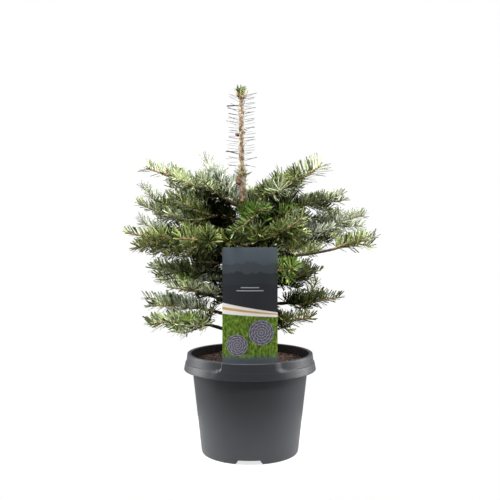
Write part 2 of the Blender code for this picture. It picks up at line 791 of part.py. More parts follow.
def make_mass(bough, path, sides, room, rng, parts, surface):
    """One bough's mass of needles: its stem and side twigs with their needles, as one solid."""
    name = f"needles_{bough['name']}"
    owner = bough["name"]
    stem = stretch(path, limb_shares(bough)[1], 1.0, STEM_SPANS + 1)
    first = toothed_twig(f"{name}_stem", owner, "stem", stem, STEM_FINS, STEM_CORE_RADIUS, room, rng, parts)
    others = [
        toothed_twig(f"{name}_{twig}", owner, twig, side, SIDE_FINS, SIDE_CORE_RADIUS, room, rng, parts)
        for twig, side in sides.items()
    ]
    return join_by_union(name, first, others, parts, surface)


def leader_needles(room, rng, collection):
    """Sparse needles up the leader and the tuft at its tip."""
    made = []
    count = round((TRUNK_TIP - LEADER_FOOT) / LEADER_NEEDLE_PITCH)
    for index in range(count):
        height = LEADER_FOOT + (index + 0.5) * LEADER_NEEDLE_PITCH
        centre, _ = trunk_at(height)
        jitter = rng.uniform(-LEADER_NEEDLE_JITTER, LEADER_NEEDLE_JITTER)
        outward = heading(index * LEADER_NEEDLE_TURN + jitter, rng.uniform(*LEADER_NEEDLE_SLOPES))
        length = LEADER_NEEDLE_LENGTH * rng.uniform(*LEADER_NEEDLE_LENGTH_RANGE)
        made.append(point_mesh(f"leader_{index}", centre + outward * MM, outward, length, collection))
    tip, _ = trunk_at(TRUNK_TIP - 3 * MM)
    for index in range(TUFT_NEEDLES):
        slope = TUFT_MIDDLE_SLOPE
        if index > 0:
            slope = TUFT_SLOPES[index % 2] + rng.uniform(-TUFT_SLOPE_JITTER, TUFT_SLOPE_JITTER)
        course = heading(index * LEADER_NEEDLE_TURN, slope)
        made.append(point_mesh(f"tuft_{index}", tip, course, TUFT_NEEDLE_LENGTH, collection))
    for needle_height in (LEADER_FOOT, TRUNK_TIP):
        centre, _ = trunk_at(needle_height)
        room.add("trunk", "leader", centre, centre + np.array((0, 0, MM)), LEADER_NEEDLE_LENGTH)
    return made


def bud_ring(height, count, radius, collection):
    """Winter buds set round the trunk at one height."""
    centre, trunk_radius = trunk_at(height * MM)
    return [
        bud_mesh(
            f"bud_{height:.0f}_{index}",
            centre
            + heading(BUD_FIRST_AZIMUTH + index * 360 / count, BUD_SLOPE)
            * (trunk_radius + radius * MM * BUD_STAND_OFF),
            radius * MM,
            collection,
        )
        for index in range(count)
    ]


def make_trunk(room, rng, parts, surface):
    """The whole trunk from the soil to the leader's tip, with the leader's needles and buds."""
    points = [trunk_at(row[0] * MM)[0] for row in TRUNK_STATIONS]
    radii = [row[3] * MM for row in TRUNK_STATIONS]
    core = tube("trunk_core", points, radii, 3, parts)
    pieces = leader_needles(room, rng, parts)
    for height, count, radius in BUD_RINGS:
        pieces += bud_ring(height, count, radius, parts)
    return join_by_union("trunk", core, pieces, parts, surface)


def main():
    clear_scene()
    parts = new_collection("potted_korean_fir")
    cutters = new_collection("cutters")
    bark = material("bark", (0.20, 0.12, 0.07), 0.85)
    green = material("needles", (0.035, 0.085, 0.025), 0.5)
    make_pot(parts, cutters, material("pot_plastic", (0.075, 0.077, 0.083), 0.5))
    make_soil(parts, material("potting_soil", (0.018, 0.011, 0.007), 0.95))
    make_label(parts, material("label_card", (0.055, 0.07, 0.085), 0.4))
    rng = random.Random(SEED)
    room = Room()
    for turn in np.linspace(FRONT - LABEL_HALF_ANGLE, FRONT + LABEL_HALF_ANGLE, 9):
        foot = heading(turn, 0) * LABEL_RADIUS + np.array((0, 0, POT_HEIGHT))
        room.add("label", "card", foot, foot + np.array((0, 0, LABEL_TOP - POT_HEIGHT)), LABEL_ROOM)
    for low, high in zip(TRUNK_STATIONS[:-1], TRUNK_STATIONS[1:]):
        room.add("trunk", "core", trunk_at(low[0] * MM)[0], trunk_at(high[0] * MM)[0], low[3] * MM)
    make_trunk(room, rng, parts, bark)
    paths = {bough["name"]: bough_path(bough) for bough in BOUGHS}
    for bough in BOUGHS:
        path = stretch(paths[bough["name"]], limb_shares(bough)[0], 1.0, BOUGH_STEPS)
        room.add_path(bough["name"], "stem", path, LIMB_ROOT_RADIUS)
    sides = {bough["name"]: side_twigs(bough, paths[bough["name"]], room, rng) for bough in BOUGHS}
    for bough in BOUGHS:
        path = paths[bough["name"]]
        if bough["bare"]:
            make_limb(bough, path, parts, bark)
        make_mass(bough, path, sides[bough["name"]], room, rng, parts, green)


main()
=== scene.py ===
import math
import random
from itertools import combinations, product

import bpy
import numpy as np
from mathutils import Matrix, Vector


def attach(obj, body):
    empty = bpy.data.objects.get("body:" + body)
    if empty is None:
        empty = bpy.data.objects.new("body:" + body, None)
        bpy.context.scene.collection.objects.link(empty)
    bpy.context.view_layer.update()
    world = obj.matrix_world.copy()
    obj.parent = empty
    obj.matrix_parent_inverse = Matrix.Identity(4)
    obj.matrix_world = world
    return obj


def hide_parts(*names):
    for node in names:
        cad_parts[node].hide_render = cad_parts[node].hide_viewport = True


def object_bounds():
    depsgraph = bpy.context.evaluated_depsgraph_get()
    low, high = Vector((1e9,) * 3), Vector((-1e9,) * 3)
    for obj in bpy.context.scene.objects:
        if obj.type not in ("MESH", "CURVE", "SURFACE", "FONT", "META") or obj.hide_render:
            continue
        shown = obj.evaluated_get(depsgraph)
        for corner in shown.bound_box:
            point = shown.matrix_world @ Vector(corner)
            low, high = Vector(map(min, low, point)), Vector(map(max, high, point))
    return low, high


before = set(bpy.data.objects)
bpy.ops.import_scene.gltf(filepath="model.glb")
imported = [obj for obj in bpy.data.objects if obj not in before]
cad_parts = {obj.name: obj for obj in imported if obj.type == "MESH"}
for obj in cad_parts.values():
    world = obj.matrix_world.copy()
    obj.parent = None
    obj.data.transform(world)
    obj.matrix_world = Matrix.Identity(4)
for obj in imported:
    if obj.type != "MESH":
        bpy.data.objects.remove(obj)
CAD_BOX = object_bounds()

MM = 0.001
UP = np.array((0.0, 0.0, 1.0))
SEED = 1907

# Sizes and rules that the solids share, in metres and degrees
GAP = 0.3 * MM
FRONT = 270.0
POT_HEIGHT = 143.8 * MM
LABEL_RADIUS = 88.7 * MM
LABEL_THICKNESS = 0.8 * MM
LABEL_TOP = 299.0 * MM
LABEL_FOOT = 144.1 * MM
LABEL_TONGUE_FOOT = 128.0 * MM
LABEL_HALF_ANGLE = 24.6
LABEL_TONGUE_HALF_ANGLE = 18.45
LABEL_ROOM = 4.5 * MM
LABEL_HALF_WIDTH = LABEL_RADIUS * math.sin(math.radians(LABEL_HALF_ANGLE))
TRUNK_TIP = 516.0 * MM
TRUNK_STATIONS = (  # height, place to the right, place to the rear and radius, in mm
    (137.7, 0.0, 0.0, 10.0),
    (142.0, 0.0, 0.0, 8.2),
    (152.0, -0.4, 0.2, 7.2),
    (200.0, -1.8, 0.6, 6.8),
    (262.0, -3.6, 1.0, 6.4),
    (310.0, -5.4, 1.6, 6.0),
    (352.0, -8.0, 2.0, 5.6),
    (372.0, -10.0, 2.0, 4.9),
    (404.0, -11.8, 1.6, 4.6),
    (412.0, -12.2, 1.5, 3.9),
    (460.0, -12.0, 0.8, 3.8),
    (508.0, -12.5, 0.5, 3.6),
    (516.0, -12.5, 0.5, 2.2),
)
BOUGH_STEPS = 10
LIMB_ROOT_RADIUS = 3.1 * MM
FORK_PLACES = (0.04, 0.50)
FORK_ANGLE = 48.0
FORK_JITTER = 7.0
FORK_PLACE_OF_SHORT = 0.20
SIDE_TWIG_CURL = 14.0
SIDE_TWIG_SLOPE = (0.6, -4.0, 6.0)
SIDE_TWIG_LIFT = 8.0
SIDE_TWIG_SIZE_RANGE = (0.85, 1.15)
SIDE_TWIG_TRIES = (1.0, 0.75, 0.5)
SHORTEST_SIDE_TWIG = 14 * MM
TWIG_ROOM = 3.0 * MM
LEADER_FOOT = 409 * MM
LEADER_NODE = 398 * MM
LEADER_NEEDLE_LENGTH = 19 * MM
LEADER_SOLID_DRAWS = 71  # random draws that the solids spend on the leader, before the boughs

# Boughs as in the solids, and last the hue of each bough's needles
BOUGH_FIELDS = ("name", "height", "azimuth", "length", "rise", "lift", "sweep", "bare", "fan", "hue")
BOUGH_ROWS = (
    ("top_left", 350, 184, 147, 25, 14, 4, 26, 0.52, "light"),
    ("top_rear_left", 354, 126, 122, 26, 42, 0, 26, 0.48, "pale"),
    ("top_rear", 348, 72, 104, 14, 20, 0, 26, 0.52, "mid"),
    ("top_right_rear", 342, 14, 153, 9, 14, 4, 32, 0.50, "grey"),
    ("top_right", 352, 347, 120, 27, 24, 6, 24, 0.48, "light"),
    ("top_front", 346, 287, 92, -4, 10, 0, 24, 0.52, "moss"),
    ("mid_left", 305, 196, 170, -2, 10, -6, 34, 0.55, "mid"),
    ("mid_left_rear", 312, 166, 168, 10, 22, 6, 34, 0.66, "grey"),
    ("mid_front_left", 300, 232, 134, -4, 12, -4, 30, 0.50, "mid"),
    ("mid_front_right", 298, 306, 126, 8, 28, 4, 30, 0.45, "mid"),
    ("mid_right", 282, 352, 184, 2, 18, 6, 60, 0.50, "mid"),
    ("mid_right_rear", 300, 24, 192, 6, 22, -4, 40, 0.54, "pale"),
    ("mid_rear_right", 306, 64, 158, 6, 20, 0, 34, 0.55, "mid"),
    ("mid_rear_left", 302, 112, 160, 6, 22, 0, 34, 0.55, "olive"),
    ("low_left", 262, 190, 136, -4, 8, 0, 40, 0.58, "light"),
    ("low_front_left", 198, 214, 132, 24, 6, 0, 56, 0.50, "light"),
    ("low_front_right", 262, 300, 122, 0, 10, 0, 40, 0.50, "fresh"),
    ("low_right", 214, 8, 136, -2, 8, 2, 50, 0.52, "deep"),
    ("low_rear_right", 248, 48, 144, 2, 14, 0, 44, 0.56, "deep"),
    ("low_rear_left", 240, 140, 150, 2, 14, 0, 44, 0.56, "grey"),
    ("foot_left", 190, 178, 154, 10, 14, -2, 56, 0.50, "pale"),
    ("foot_front_left", 160, 204, 148, 16, 6, -2, 62, 0.45, "light"),
    ("foot_right", 184, 334, 96, 6, 10, 0, 36, 0.45, "olive"),
    ("foot_rear", 184, 84, 122, 6, 14, 0, 50, 0.50, "deep"),
    ("inner_top_left", 334, 212, 84, 4, 16, 0, 0, 0.55, "deep"),
    ("inner_top_right", 330, 326, 84, 6, 18, 0, 0, 0.55, "fresh"),
    ("inner_left", 276, 222, 88, -4, 8, 0, 0, 0.55, "deep"),
    ("inner_right", 246, 338, 92, -2, 10, 0, 0, 0.55, "deep"),
    ("inner_rear", 272, 90, 96, 2, 14, 0, 0, 0.55, "deep"),
    ("inner_low_left", 226, 168, 96, -2, 10, 0, 0, 0.55, "deep"),
)
BOUGHS = [dict(zip(BOUGH_FIELDS, row)) for row in BOUGH_ROWS]

# Finer growth, only in this script. A habit says how a bough differs from the usual one:
# arch, how far its leafy part rises above its plain curve, at the middle and the tip, in mm
# leafy and sides, where the first needles stand, on its stem against the end of the bare part and
# on its side twigs as a share of them
# shade, how strongly the shade near the trunk acts on it
# upright, how far the needles lean forward and shorten towards the tip
# parted, the share of the needles missing from the near side of its stem, where that shows
# needle and apart, the length and the spacing of its needles
# side_hues and twig_hue, the hues of its side twigs in order and of the twiglets on its stem
USUAL_HABIT = {
    "arch": (0, 0),
    "leafy": 1.0,
    "sides": 0.06,
    "shade": 1.0,
    "upright": 1.0,
    "parted": 0.0,
    "needle": 1.0,
    "apart": 1.0,
    "side_hues": (),
    "twig_hue": None,
}
HABITS = {
    "top_left": dict(arch=(2, 9), leafy=0.3, shade=0.4, upright=0.5, parted=0.25, needle=0.95, apart=0.9),
    "top_rear_left": dict(arch=(0, 4), leafy=0.5, shade=0.4),
    "top_right_rear": dict(leafy=0.5, parted=0.6, needle=0.85, apart=1.2),
    "top_right": dict(
        arch=(-2, 7), leafy=0.25, shade=0.2, upright=0.1, parted=0.5, needle=1.2, apart=0.7,
        side_hues=("mid",) * 4, twig_hue="grey",
    ),
    "top_front": dict(leafy=0.6, shade=0.1, needle=0.85, apart=0.85),
    "mid_left": dict(leafy=0.6, parted=0.5),
    "mid_left_rear": dict(shade=1.4),
    "mid_front_left": dict(
        arch=(5, 2), leafy=0.5, shade=0.5, upright=0.6, parted=0.7, needle=1.15, apart=0.8,
        side_hues=("light", "olive"),
    ),
    "mid_front_right": dict(leafy=0.6, shade=0.4, upright=0.5, parted=0.85, needle=1.18, apart=0.9),
    "mid_right": dict(arch=(-4, -3), leafy=2.1, sides=0.4, parted=0.6, apart=1.4),
    "mid_right_rear": dict(needle=0.9),
    "mid_rear_left": dict(shade=1.6),
    "low_left": dict(shade=0.3, apart=1.2),
    "low_front_left": dict(arch=(6, 12), leafy=1.3, needle=0.9, apart=1.8),
    "low_front_right": dict(shade=0.3, needle=1.3, apart=0.8),
    "low_right": dict(parted=0.7, apart=1.4),
    "low_rear_right": dict(needle=0.7, apart=1.8),
    "low_rear_left": dict(shade=0.4, needle=0.8, apart=1.7),
    "foot_left": dict(arch=(4, 0), leafy=1.35, parted=0.5, needle=0.9, apart=1.5),
    "foot_front_left": dict(arch=(11, 5), shade=0.5, needle=1.2, apart=1.8),
    "foot_right": dict(arch=(1, 1), shade=0.3, needle=1.1, apart=1.2),
    "inner_top_left": dict(shade=2.0),
    "inner_rear": dict(shade=1.6),
    "inner_low_left": dict(needle=0.7, apart=2.2),
}
FINE_SHOOTS = {  # share of the bough's stem, azimuth, rise, length in mm, hue
    "top_left": ((0.28, 205, -12, 56, "deep"), (0.40, 166, -14, 54, "olive")),
    "top_rear_left": ((0.30, 85, 30, 42, "pale"),),
    "top_rear": ((0.35, 100, -14, 70, "deep"), (0.35, 50, -16, 70, "deep")),
    "top_right_rear": ((0.60, 355, 3, 58, "grey"), (0.45, 2, 4, 40, "grey")),
    "top_front": ((0.80, 204, -38, 50, "moss"), (0.50, 232, -44, 44, "moss")),
    "mid_left": (
        (0.58, 143, 18, 74, "pale"),
        (0.52, 185, -18, 48, "mid"),
        (0.40, 217, -22, 56, "olive"),
        (0.68, 202, -18, 44, "olive"),
        (0.72, 192, -26, 34, "olive"),
        (0.60, 170, -14, 50, "mid"),
    ),
    "mid_left_rear": ((0.54, 143, 29, 98, "pale"), (0.60, 209, 36, 40, "mid")),
    "mid_front_left": ((0.50, 218, -12, 48, "olive"), (0.26, 288, -2, 40, "olive")),
    "mid_front_right": (
        (0.54, 326, -5, 32, "mid"),
        (0.30, 258, 2, 46, "mid"),
        (0.45, 322, -24, 46, "olive"),
        (0.25, 332, -20, 46, "deep"),
    ),
    "mid_right": (
        (0.70, 327, 22, 44, "mid"),
        (0.86, 340, -14, 20, "mid"),
        (0.25, 340, 25, 36, "deep"),
        (0.70, 12, 18, 44, "mid"),
    ),
    "mid_right_rear": (
        (0.64, 350, 34, 34, "grey"),
        (0.64, 42, 3, 66, "mid"),
        (0.30, 350, -8, 56, "deep"),
        (0.80, 8, 10, 42, "grey"),
        (0.72, 0, -6, 48, "grey"),
        (0.50, 340, -12, 60, "mid"),
    ),
    "mid_rear_right": ((0.35, 30, -8, 70, "deep"),),
    "mid_rear_left": ((0.35, 150, -8, 70, "deep"),),
    "low_left": (
        (0.54, 193, -14, 52, "light"),
        (0.47, 235, -13, 50, "fresh"),
        (0.66, 176, 10, 40, "light"),
        (0.72, 202, -14, 32, "light"),
    ),
    "low_front_right": ((0.92, 274, 6, 10, "mid"), (0.80, 284, -30, 22, "fresh")),
    "low_right": ((0.59, 27, 47, 38, "olive"), (0.56, 275, -13, 34, "olive")),
    "low_rear_right": ((0.58, 6, -1, 56, "mid"),),
    "low_rear_left": ((0.61, 179, -11, 54, "grey"),),
    "foot_left": ((0.62, 208, 0, 46, "light"), (0.70, 165, -10, 40, "grey")),
    "foot_front_left": (
        (0.60, 262, 10, 34, "fresh"),
        (0.50, 302, 36, 38, "mid"),
        (0.86, 200, -10, 24, "light"),
        (0.62, 186, 0, 50, "light"),
    ),
    "inner_top_left": (
        (0.40, 204, 16, 70, "mid"),
        (0.58, 223, -8, 50, "deep"),
        (0.30, 176, 6, 60, "deep"),
        (0.12, 188, 22, 62, "deep"),
        (0.30, 158, 20, 66, "deep"),
    ),
    "inner_top_right": ((0.30, 10, 4, 60, "deep"),),
    "inner_left": ((0.50, 200, 10, 70, "deep"), (0.30, 250, 14, 56, "deep")),
    "inner_right": ((0.35, 350, 50, 60, "deep"), (0.40, 20, 8, 66, "deep"), (0.60, 318, 20, 50, "deep")),
    "inner_rear": ((0.30, 60, 20, 60, "deep"), (0.30, 125, 22, 60, "deep")),
}
STEM_POINTS = 24
SIDE_STEPS = 5
FINE_SHOOT_SLOPES = (-4, 8)  # at root and tip, against the shoot's rise
FINE_SHOOT_CURL = 6
TWIGLET_ROWS = (  # pitch, share of the parent beyond, longest, roll, spread of the roll
    (32 * MM, 0.62, 64 * MM, 84.0, 10.0),
    (32 * MM, 0.50, 40 * MM, 20.0, 22.0),
    (30 * MM, 0.52, 46 * MM, 152.0, 22.0),
)
UPPER_ROW_ROLL = 60.0
TWIGLET_SHORTEST = 22 * MM
TWIGLETS_TO = 0.95
TWIGLET_LEAFY_FROM = 0.08
TWIGLET_ANGLE = 46.0
TWIGLET_ANGLE_JITTER = 9.0
TWIGLET_CURL = 10.0
TWIGLET_NEEDLES = 0.9
# share of the twiglets on a stem's inner half that take the deep hue, for older needles and as painted shade
DARK_TWIGLET_SHARE = 0.55
STEM_TIP_RADIUS = 1.15 * MM
SIDE_RADII = (1.5 * MM, 0.9 * MM)
TWIGLET_RADII = (1.0 * MM, 0.7 * MM)

# Needles
NEEDLE_LENGTH = 18.0 * MM
NEEDLE_WIDTH = 1.9 * MM
NEEDLE_THICKNESS = 0.5 * MM
NEEDLE_SPACING = 0.42 * MM
NEEDLE_RINGS = ((0.0, 0.45), (0.5, 0.85), (0.93, 0.80))  # share of the length, share of the width
TUFT_PITCH = 4.3 * MM  # needles stand in small groups along a shoot
TUFT_SPREAD = 0.13
NEEDLE_LEAN = 16.0
NEEDLE_LEAN_SPREAD = 3.5
TIP_LEAN = 28.0
TIP_SHORTENING = 0.22
NEEDLE_TURN = 137.5
NEEDLE_TURN_JITTER = 16.0
NEEDLE_TWIST = 30.0
NEEDLE_COURSE_SPREAD = 0.03
NEEDLE_SIDE_LIFT = 0.16
NEEDLE_BEND = 0.10
NEEDLE_LENGTH_RANGE = (0.80, 1.08)
NEEDLE_WIDTH_RANGE = (0.85, 1.15)
NEEDLE_FACING = (0.55, 0.6)  # how far the upper face turns up and ahead
ODD_TUFTS = 0.2  # share of the tufts that break the rule of bright and dull in turn
ODD_NEEDLES = 0.08
WIDEST_OF_SPARSE = 1.35
UNDER_ROLL = 104.0
UNDER_SHARE = 0.42
UNDER_LEAN = 26.0
UNDER_LENGTH = 0.92
UNDER_WIDTH = 1.6 * MM
NEAR_SIDE = 0.72
SHADE_REACH = 78 * MM
SHADE_FADE = 44 * MM
MOST_SHADED = 0.95
SHADED_BENEATH = 0.12
MOST_TRIANGLES = 190000

# Hue of the needles: upper face dark to light, then the silvery underside
NEEDLE_HUES = {
    # deep, the dark green of some boughs, also darkens the shoots inside the crown and many twiglets near a
    # stem's root: painted shade there
    "deep": ((0.018, 0.032, 0.003), (0.120, 0.155, 0.022), (0.20, 0.25, 0.08)),
    "mid": ((0.048, 0.078, 0.006), (0.440, 0.525, 0.150), (0.58, 0.65, 0.34)),
    "light": ((0.080, 0.118, 0.022), (0.700, 0.800, 0.420), (0.80, 0.85, 0.64)),
    "olive": ((0.058, 0.072, 0.006), (0.340, 0.390, 0.095), (0.56, 0.60, 0.28)),
    "fresh": ((0.040, 0.086, 0.005), (0.340, 0.500, 0.080), (0.56, 0.66, 0.30)),
    "moss": ((0.020, 0.046, 0.003), (0.150, 0.270, 0.026), (0.36, 0.46, 0.18)),
    "grey": ((0.048, 0.072, 0.020), (0.460, 0.530, 0.290), (0.68, 0.74, 0.52)),
    "pale": ((0.21, 0.25, 0.160), (0.80, 0.86, 0.70), (0.84, 0.88, 0.78)),
    "lead": ((0.080, 0.095, 0.090), (0.30, 0.32, 0.31), (0.52, 0.56, 0.58)),
}
NEEDLE_TONES = 5
NEEDLE_GLOSS = (0.1, 0.3, 0.45, 0.5, 0.5)
DARKEST_LIT = 0.45  # the darkest lit tone, against the low colour of the hue
SHADE = 0.10  # shaded needles have twice this share of the low colour above, and thrice beneath


# Small vector helpers


def heading(azimuth, elevation):
    """Unit vector that points along a compass angle and a slope, both in degrees."""
    turn, slope = math.radians(azimuth), math.radians(elevation)
    return np.array((math.cos(turn) * math.cos(slope), math.sin(turn) * math.cos(slope), math.sin(slope)))


def arc(start, azimuth, rise, lift, sweep, length, steps):
    """Points along a limb whose slope goes evenly from rise to lift as its heading turns by sweep."""
    points = [np.array(start, float)]
    for step in range(steps):
        share = (step + 0.5) / steps
        course = heading(azimuth + sweep * share, rise + (lift - rise) * share)
        points.append(points[-1] + course * (length / steps))
    return np.array(points)


def unit(vectors):
    return vectors / np.maximum(np.linalg.norm(vectors, axis=-1, keepdims=True), 1e-12)


def sample(path, shares):
    """Points at shares of a path whose steps are of about one length, and its direction there."""
    place = np.clip(shares, 0.0, 1.0) * (len(path) - 1)
    step = np.minimum(place.astype(int), len(path) - 2)
    spans = path[step + 1] - path[step]
    return path[step] + spans * (place - step)[..., None], unit(spans)


def along(path, shares):
    return sample(path, np.asarray(shares, float))[0]


def frames_along(directions):
    """Unit vectors along, up and sideways for each direction."""
    ahead = unit(directions)
    side = unit(np.cross(ahead, UP))
    return ahead, np.cross(side, ahead), side


def path_length(path):
    return float(np.linalg.norm(np.diff(path, axis=0), axis=1).sum())


def angle_apart(first, second):
    """The angle from the second to the first, between -180 and 180 degrees."""
    return (first - second + 540) % 360 - 180


def between(ends, shares):
    return ends[0] + (ends[1] - ends[0]) * shares


def smoothstep(value):
    value = np.clip(value, 0.0, 1.0)
    return value * value * (3 - 2 * value)


def value_noise(across, up, columns, seed):
    """Smooth noise from -1 to 1 that repeats every columns cells across."""
    lattice = np.random.default_rng(seed).uniform(-1, 1, (columns, int(np.max(up)) + 3))
    left = np.floor(across).astype(int)
    low = np.floor(up).astype(int)
    u, v = smoothstep(across - left), smoothstep(up - low)
    left, right = left % columns, (left + 1) % columns
    bottom = lattice[left, low] * (1 - u) + lattice[right, low] * u
    top = lattice[left, low + 1] * (1 - u) + lattice[right, low + 1] * u
    return bottom * (1 - v) + top * v


def trunk_at(height):
    """Centre and radius of the trunk at a height."""
    heights, *sizes = np.array(TRUNK_STATIONS).T * MM
    sideways, depth, radius = (float(np.interp(height, heights, size)) for size in sizes)
    return np.array((sideways, depth, height)), radius


# The crown's rule, written again as in the solids


class Room:
    """Remembers limbs and twigs as rods with a radius, and says where a new one fits."""

    def __init__(self):
        self.owners = []
        self.rods = []

    def add(self, owner, path, radius):
        for start, end in zip(path[:-1], path[1:]):
            self.owners.append(owner)
            self.rods.append((*start, *end, radius))

    def fits(self, owner, start, end, radius):
        """True if a rod stays clear of other owners' rods, tried at several places along it."""
        rods = np.array(self.rods)[np.array(self.owners) != owner]
        starts, spans = rods[:, :3], rods[:, 3:6] - rods[:, :3]
        lengths = np.maximum((spans**2).sum(axis=1), 1e-12)
        nearest = np.full(len(rods), np.inf)
        for share in np.linspace(0.0, 1.0, 9):
            point = start + (end - start) * share
            place = np.clip(((point - starts) * spans).sum(axis=1) / lengths, 0.0, 1.0)
            nearest = np.minimum(nearest, np.linalg.norm(point - starts - spans * place[:, None], axis=1))
        return bool((nearest - rods[:, 6] - radius > 2 * GAP).all())


def bough_path(bough):
    centre, _ = trunk_at(bough["height"] * MM)
    bends = (bough[field] for field in ("azimuth", "rise", "lift", "sweep"))
    return arc(centre, *bends, bough["length"] * MM, BOUGH_STEPS)


def root_distance(bough):
    """How far from the trunk's centre the round root of a bough just clears the leaning trunk."""
    start, distance = trunk_at(bough["height"] * MM)
    course, up, side = frames_along(heading(bough["azimuth"], bough["rise"]))
    turns = np.radians(np.arange(0, 360, 30))
    rim = np.outer(np.cos(turns), up) + np.outer(np.sin(turns), side)
    while True:
        for place in start + course * distance + rim * LIMB_ROOT_RADIUS:
            centre, radius = trunk_at(place[2])
            if np.linalg.norm((place - centre)[:2]) < radius + GAP:
                break
        else:
            return distance
        distance += GAP / 4


def limb_shares(bough):
    """Where a bough leaves the trunk and where its needles begin, as shares of its path."""
    clear = root_distance(bough)
    length = bough["length"] * MM
    return clear / length, max(clear, bough["bare"] * MM) / length


def side_twigs(bough, path, room, rng):
    """Paths of the side twigs that leave the bough's stem in pairs, kept clear of other boughs, and
    the share of the stem where each leaves it."""
    found = []
    slope_share, *slope_range = SIDE_TWIG_SLOPE
    _, first = limb_shares(bough)
    for place in FORK_PLACES:
        share = first + (place + FORK_PLACE_OF_SHORT * (bough["bare"] == 0)) * (1 - first)
        slope = between((bough["rise"], bough["lift"]), share)
        beyond = bough["length"] * (1 - share) * MM
        for side in (-1, 1):
            turn = side * (FORK_ANGLE + rng.uniform(-FORK_JITTER, FORK_JITTER))
            size = beyond * bough["fan"] * rng.uniform(*SIDE_TWIG_SIZE_RANGE)
            rise = slope * slope_share + rng.uniform(*slope_range)
            azimuth = bough["azimuth"] + bough["sweep"] * share + turn
            bends = (azimuth, rise, slope + SIDE_TWIG_LIFT, -side * SIDE_TWIG_CURL)
            for reach in (size * shorter for shorter in SIDE_TWIG_TRIES):
                twig = arc(along(path, share), *bends, reach, 1)
                free = room.fits(bough["name"], along(twig, 0.3), twig[-1], TWIG_ROOM)
                if free and reach > SHORTEST_SIDE_TWIG:
                    room.add(bough["name"], twig, TWIG_ROOM)
                    found.append((arc(twig[0], *bends, reach, SIDE_STEPS), share))
                    break
    return found


def crown_twigs():
    """The path of every bough and its side twigs, from the same seed and order as the solids."""
    rng = random.Random(SEED)
    room = Room()
    for turn in np.linspace(FRONT - LABEL_HALF_ANGLE, FRONT + LABEL_HALF_ANGLE, 9):
        foot = heading(turn, 0) * LABEL_RADIUS + UP * POT_HEIGHT
        room.add("label", (foot, foot + UP * (LABEL_TOP - POT_HEIGHT)), LABEL_ROOM)
    for low, high in zip(TRUNK_STATIONS[:-1], TRUNK_STATIONS[1:]):
        room.add("trunk", (trunk_at(low[0] * MM)[0], trunk_at(high[0] * MM)[0]), low[3] * MM)
    for height in (LEADER_FOOT, TRUNK_TIP):
        centre, _ = trunk_at(height)
        room.add("trunk", (centre, centre + UP * MM), LEADER_NEEDLE_LENGTH)
    for _ in range(LEADER_SOLID_DRAWS):
        rng.random()
    paths = {bough["name"]: bough_path(bough) for bough in BOUGHS}
    for bough in BOUGHS:
        limb = along(paths[bough["name"]], np.linspace(limb_shares(bough)[0], 1.0, BOUGH_STEPS))
        room.add(bough["name"], limb, LIMB_ROOT_RADIUS)
    return paths, {bough["name"]: side_twigs(bough, paths[bough["name"]], room, rng) for bough in BOUGHS}


# Mesh building


def add_mesh(name, points, faces, materials, slots=None, smooth=False, uv=None):
    """A mesh object from an array of points and arrays of triangles or quads, made in one go."""
    groups = [np.asarray(group, np.int32) for group in faces if len(group)]
    mesh = bpy.data.meshes.new(name)
    mesh.vertices.add(len(points))
    mesh.vertices.foreach_set("co", np.asarray(points, np.float32).ravel())
    corners = np.concatenate([group.ravel() for group in groups])
    sizes = np.concatenate([np.full(len(group), group.shape[1], np.int32) for group in groups])
    mesh.loops.add(len(corners))
    mesh.loops.foreach_set("vertex_index", corners)
    mesh.polygons.add(len(sizes))
    mesh.polygons.foreach_set("loop_start", np.concatenate([[0], np.cumsum(sizes)[:-1]]).astype(np.int32))
    if slots is not None:
        mesh.polygons.foreach_set("material_index", np.asarray(slots, np.int32))
    mesh.polygons.foreach_set("use_smooth", np.full(len(sizes), smooth))
    for material in materials:
        mesh.materials.append(material)
    if uv is not None:
        layer = mesh.uv_layers.new(name="map")
        layer.data.foreach_set("uv", np.asarray(uv, np.float32)[corners].ravel())
    mesh.update(calc_edges=True)
    mesh.validate()
    made = bpy.data.objects.new(name, mesh)
    bpy.context.scene.collection.objects.link(made)
    return made


def finish_piece(piece, slot, *nodes):
    """Hides the nodes that a piece stands for, if any, and puts the piece in the root body. slot, its finish,
    is not used.
    """
    if nodes:
        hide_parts(*nodes)
    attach(piece, "root")


class Gather:
    """Collects pieces of one kind, to be joined into one mesh."""

    def __init__(self):
        self.parts = []
        self.points = 0
        self.triangles = 0

    def add(self, points, triangles, slots):
        self.parts.append((points, triangles + self.points, np.broadcast_to(slots, len(triangles))))
        self.points += len(points)
        self.triangles += len(triangles)

    def build(self, name, materials, smooth=False):
        points, triangles, slots = (np.concatenate(kind) for kind in zip(*self.parts))
        return add_mesh(name, points, [triangles], materials, slots, smooth)


def tube(path, radii, sides, relief=0.0, upright=False):
    """Points and triangles of a closed tube through a path. relief gives an added radius for each
    ring and side."""
    if upright:
        up, side = (np.tile(axis, (len(path), 1)) for axis in ((0.0, 1.0, 0.0), (1.0, 0.0, 0.0)))
    else:
        _, up, side = frames_along(np.gradient(path, axis=0))
    turns = np.linspace(0, 2 * math.pi, sides, endpoint=False)[None, :, None]
    spread = np.repeat(np.asarray(radii, float)[:, None], sides, axis=1) + relief
    outward = side[:, None, :] * np.cos(turns) + up[:, None, :] * np.sin(turns)
    rings = path[:, None, :] + outward * spread[:, :, None]
    points = np.concatenate([rings.reshape(-1, 3), path[:1], path[-1:]])
    rim = np.arange(sides)
    after = (rim + 1) % sides
    end = (len(path) - 1) * sides
    starts = np.arange(0, end, sides)[:, None]
    a, b = (starts + rim).ravel(), (starts + after).ravel()
    c, d = b + sides, a + sides
    foot = np.stack([np.full(sides, len(points) - 2), after, rim], axis=1)
    head = np.stack([np.full(sides, len(points) - 1), end + rim, end + after], axis=1)
    triangles = np.concatenate([np.stack([a, b, c], 1), np.stack([a, c, d], 1), foot, head])
    return points, triangles if upright else triangles[:, ::-1]


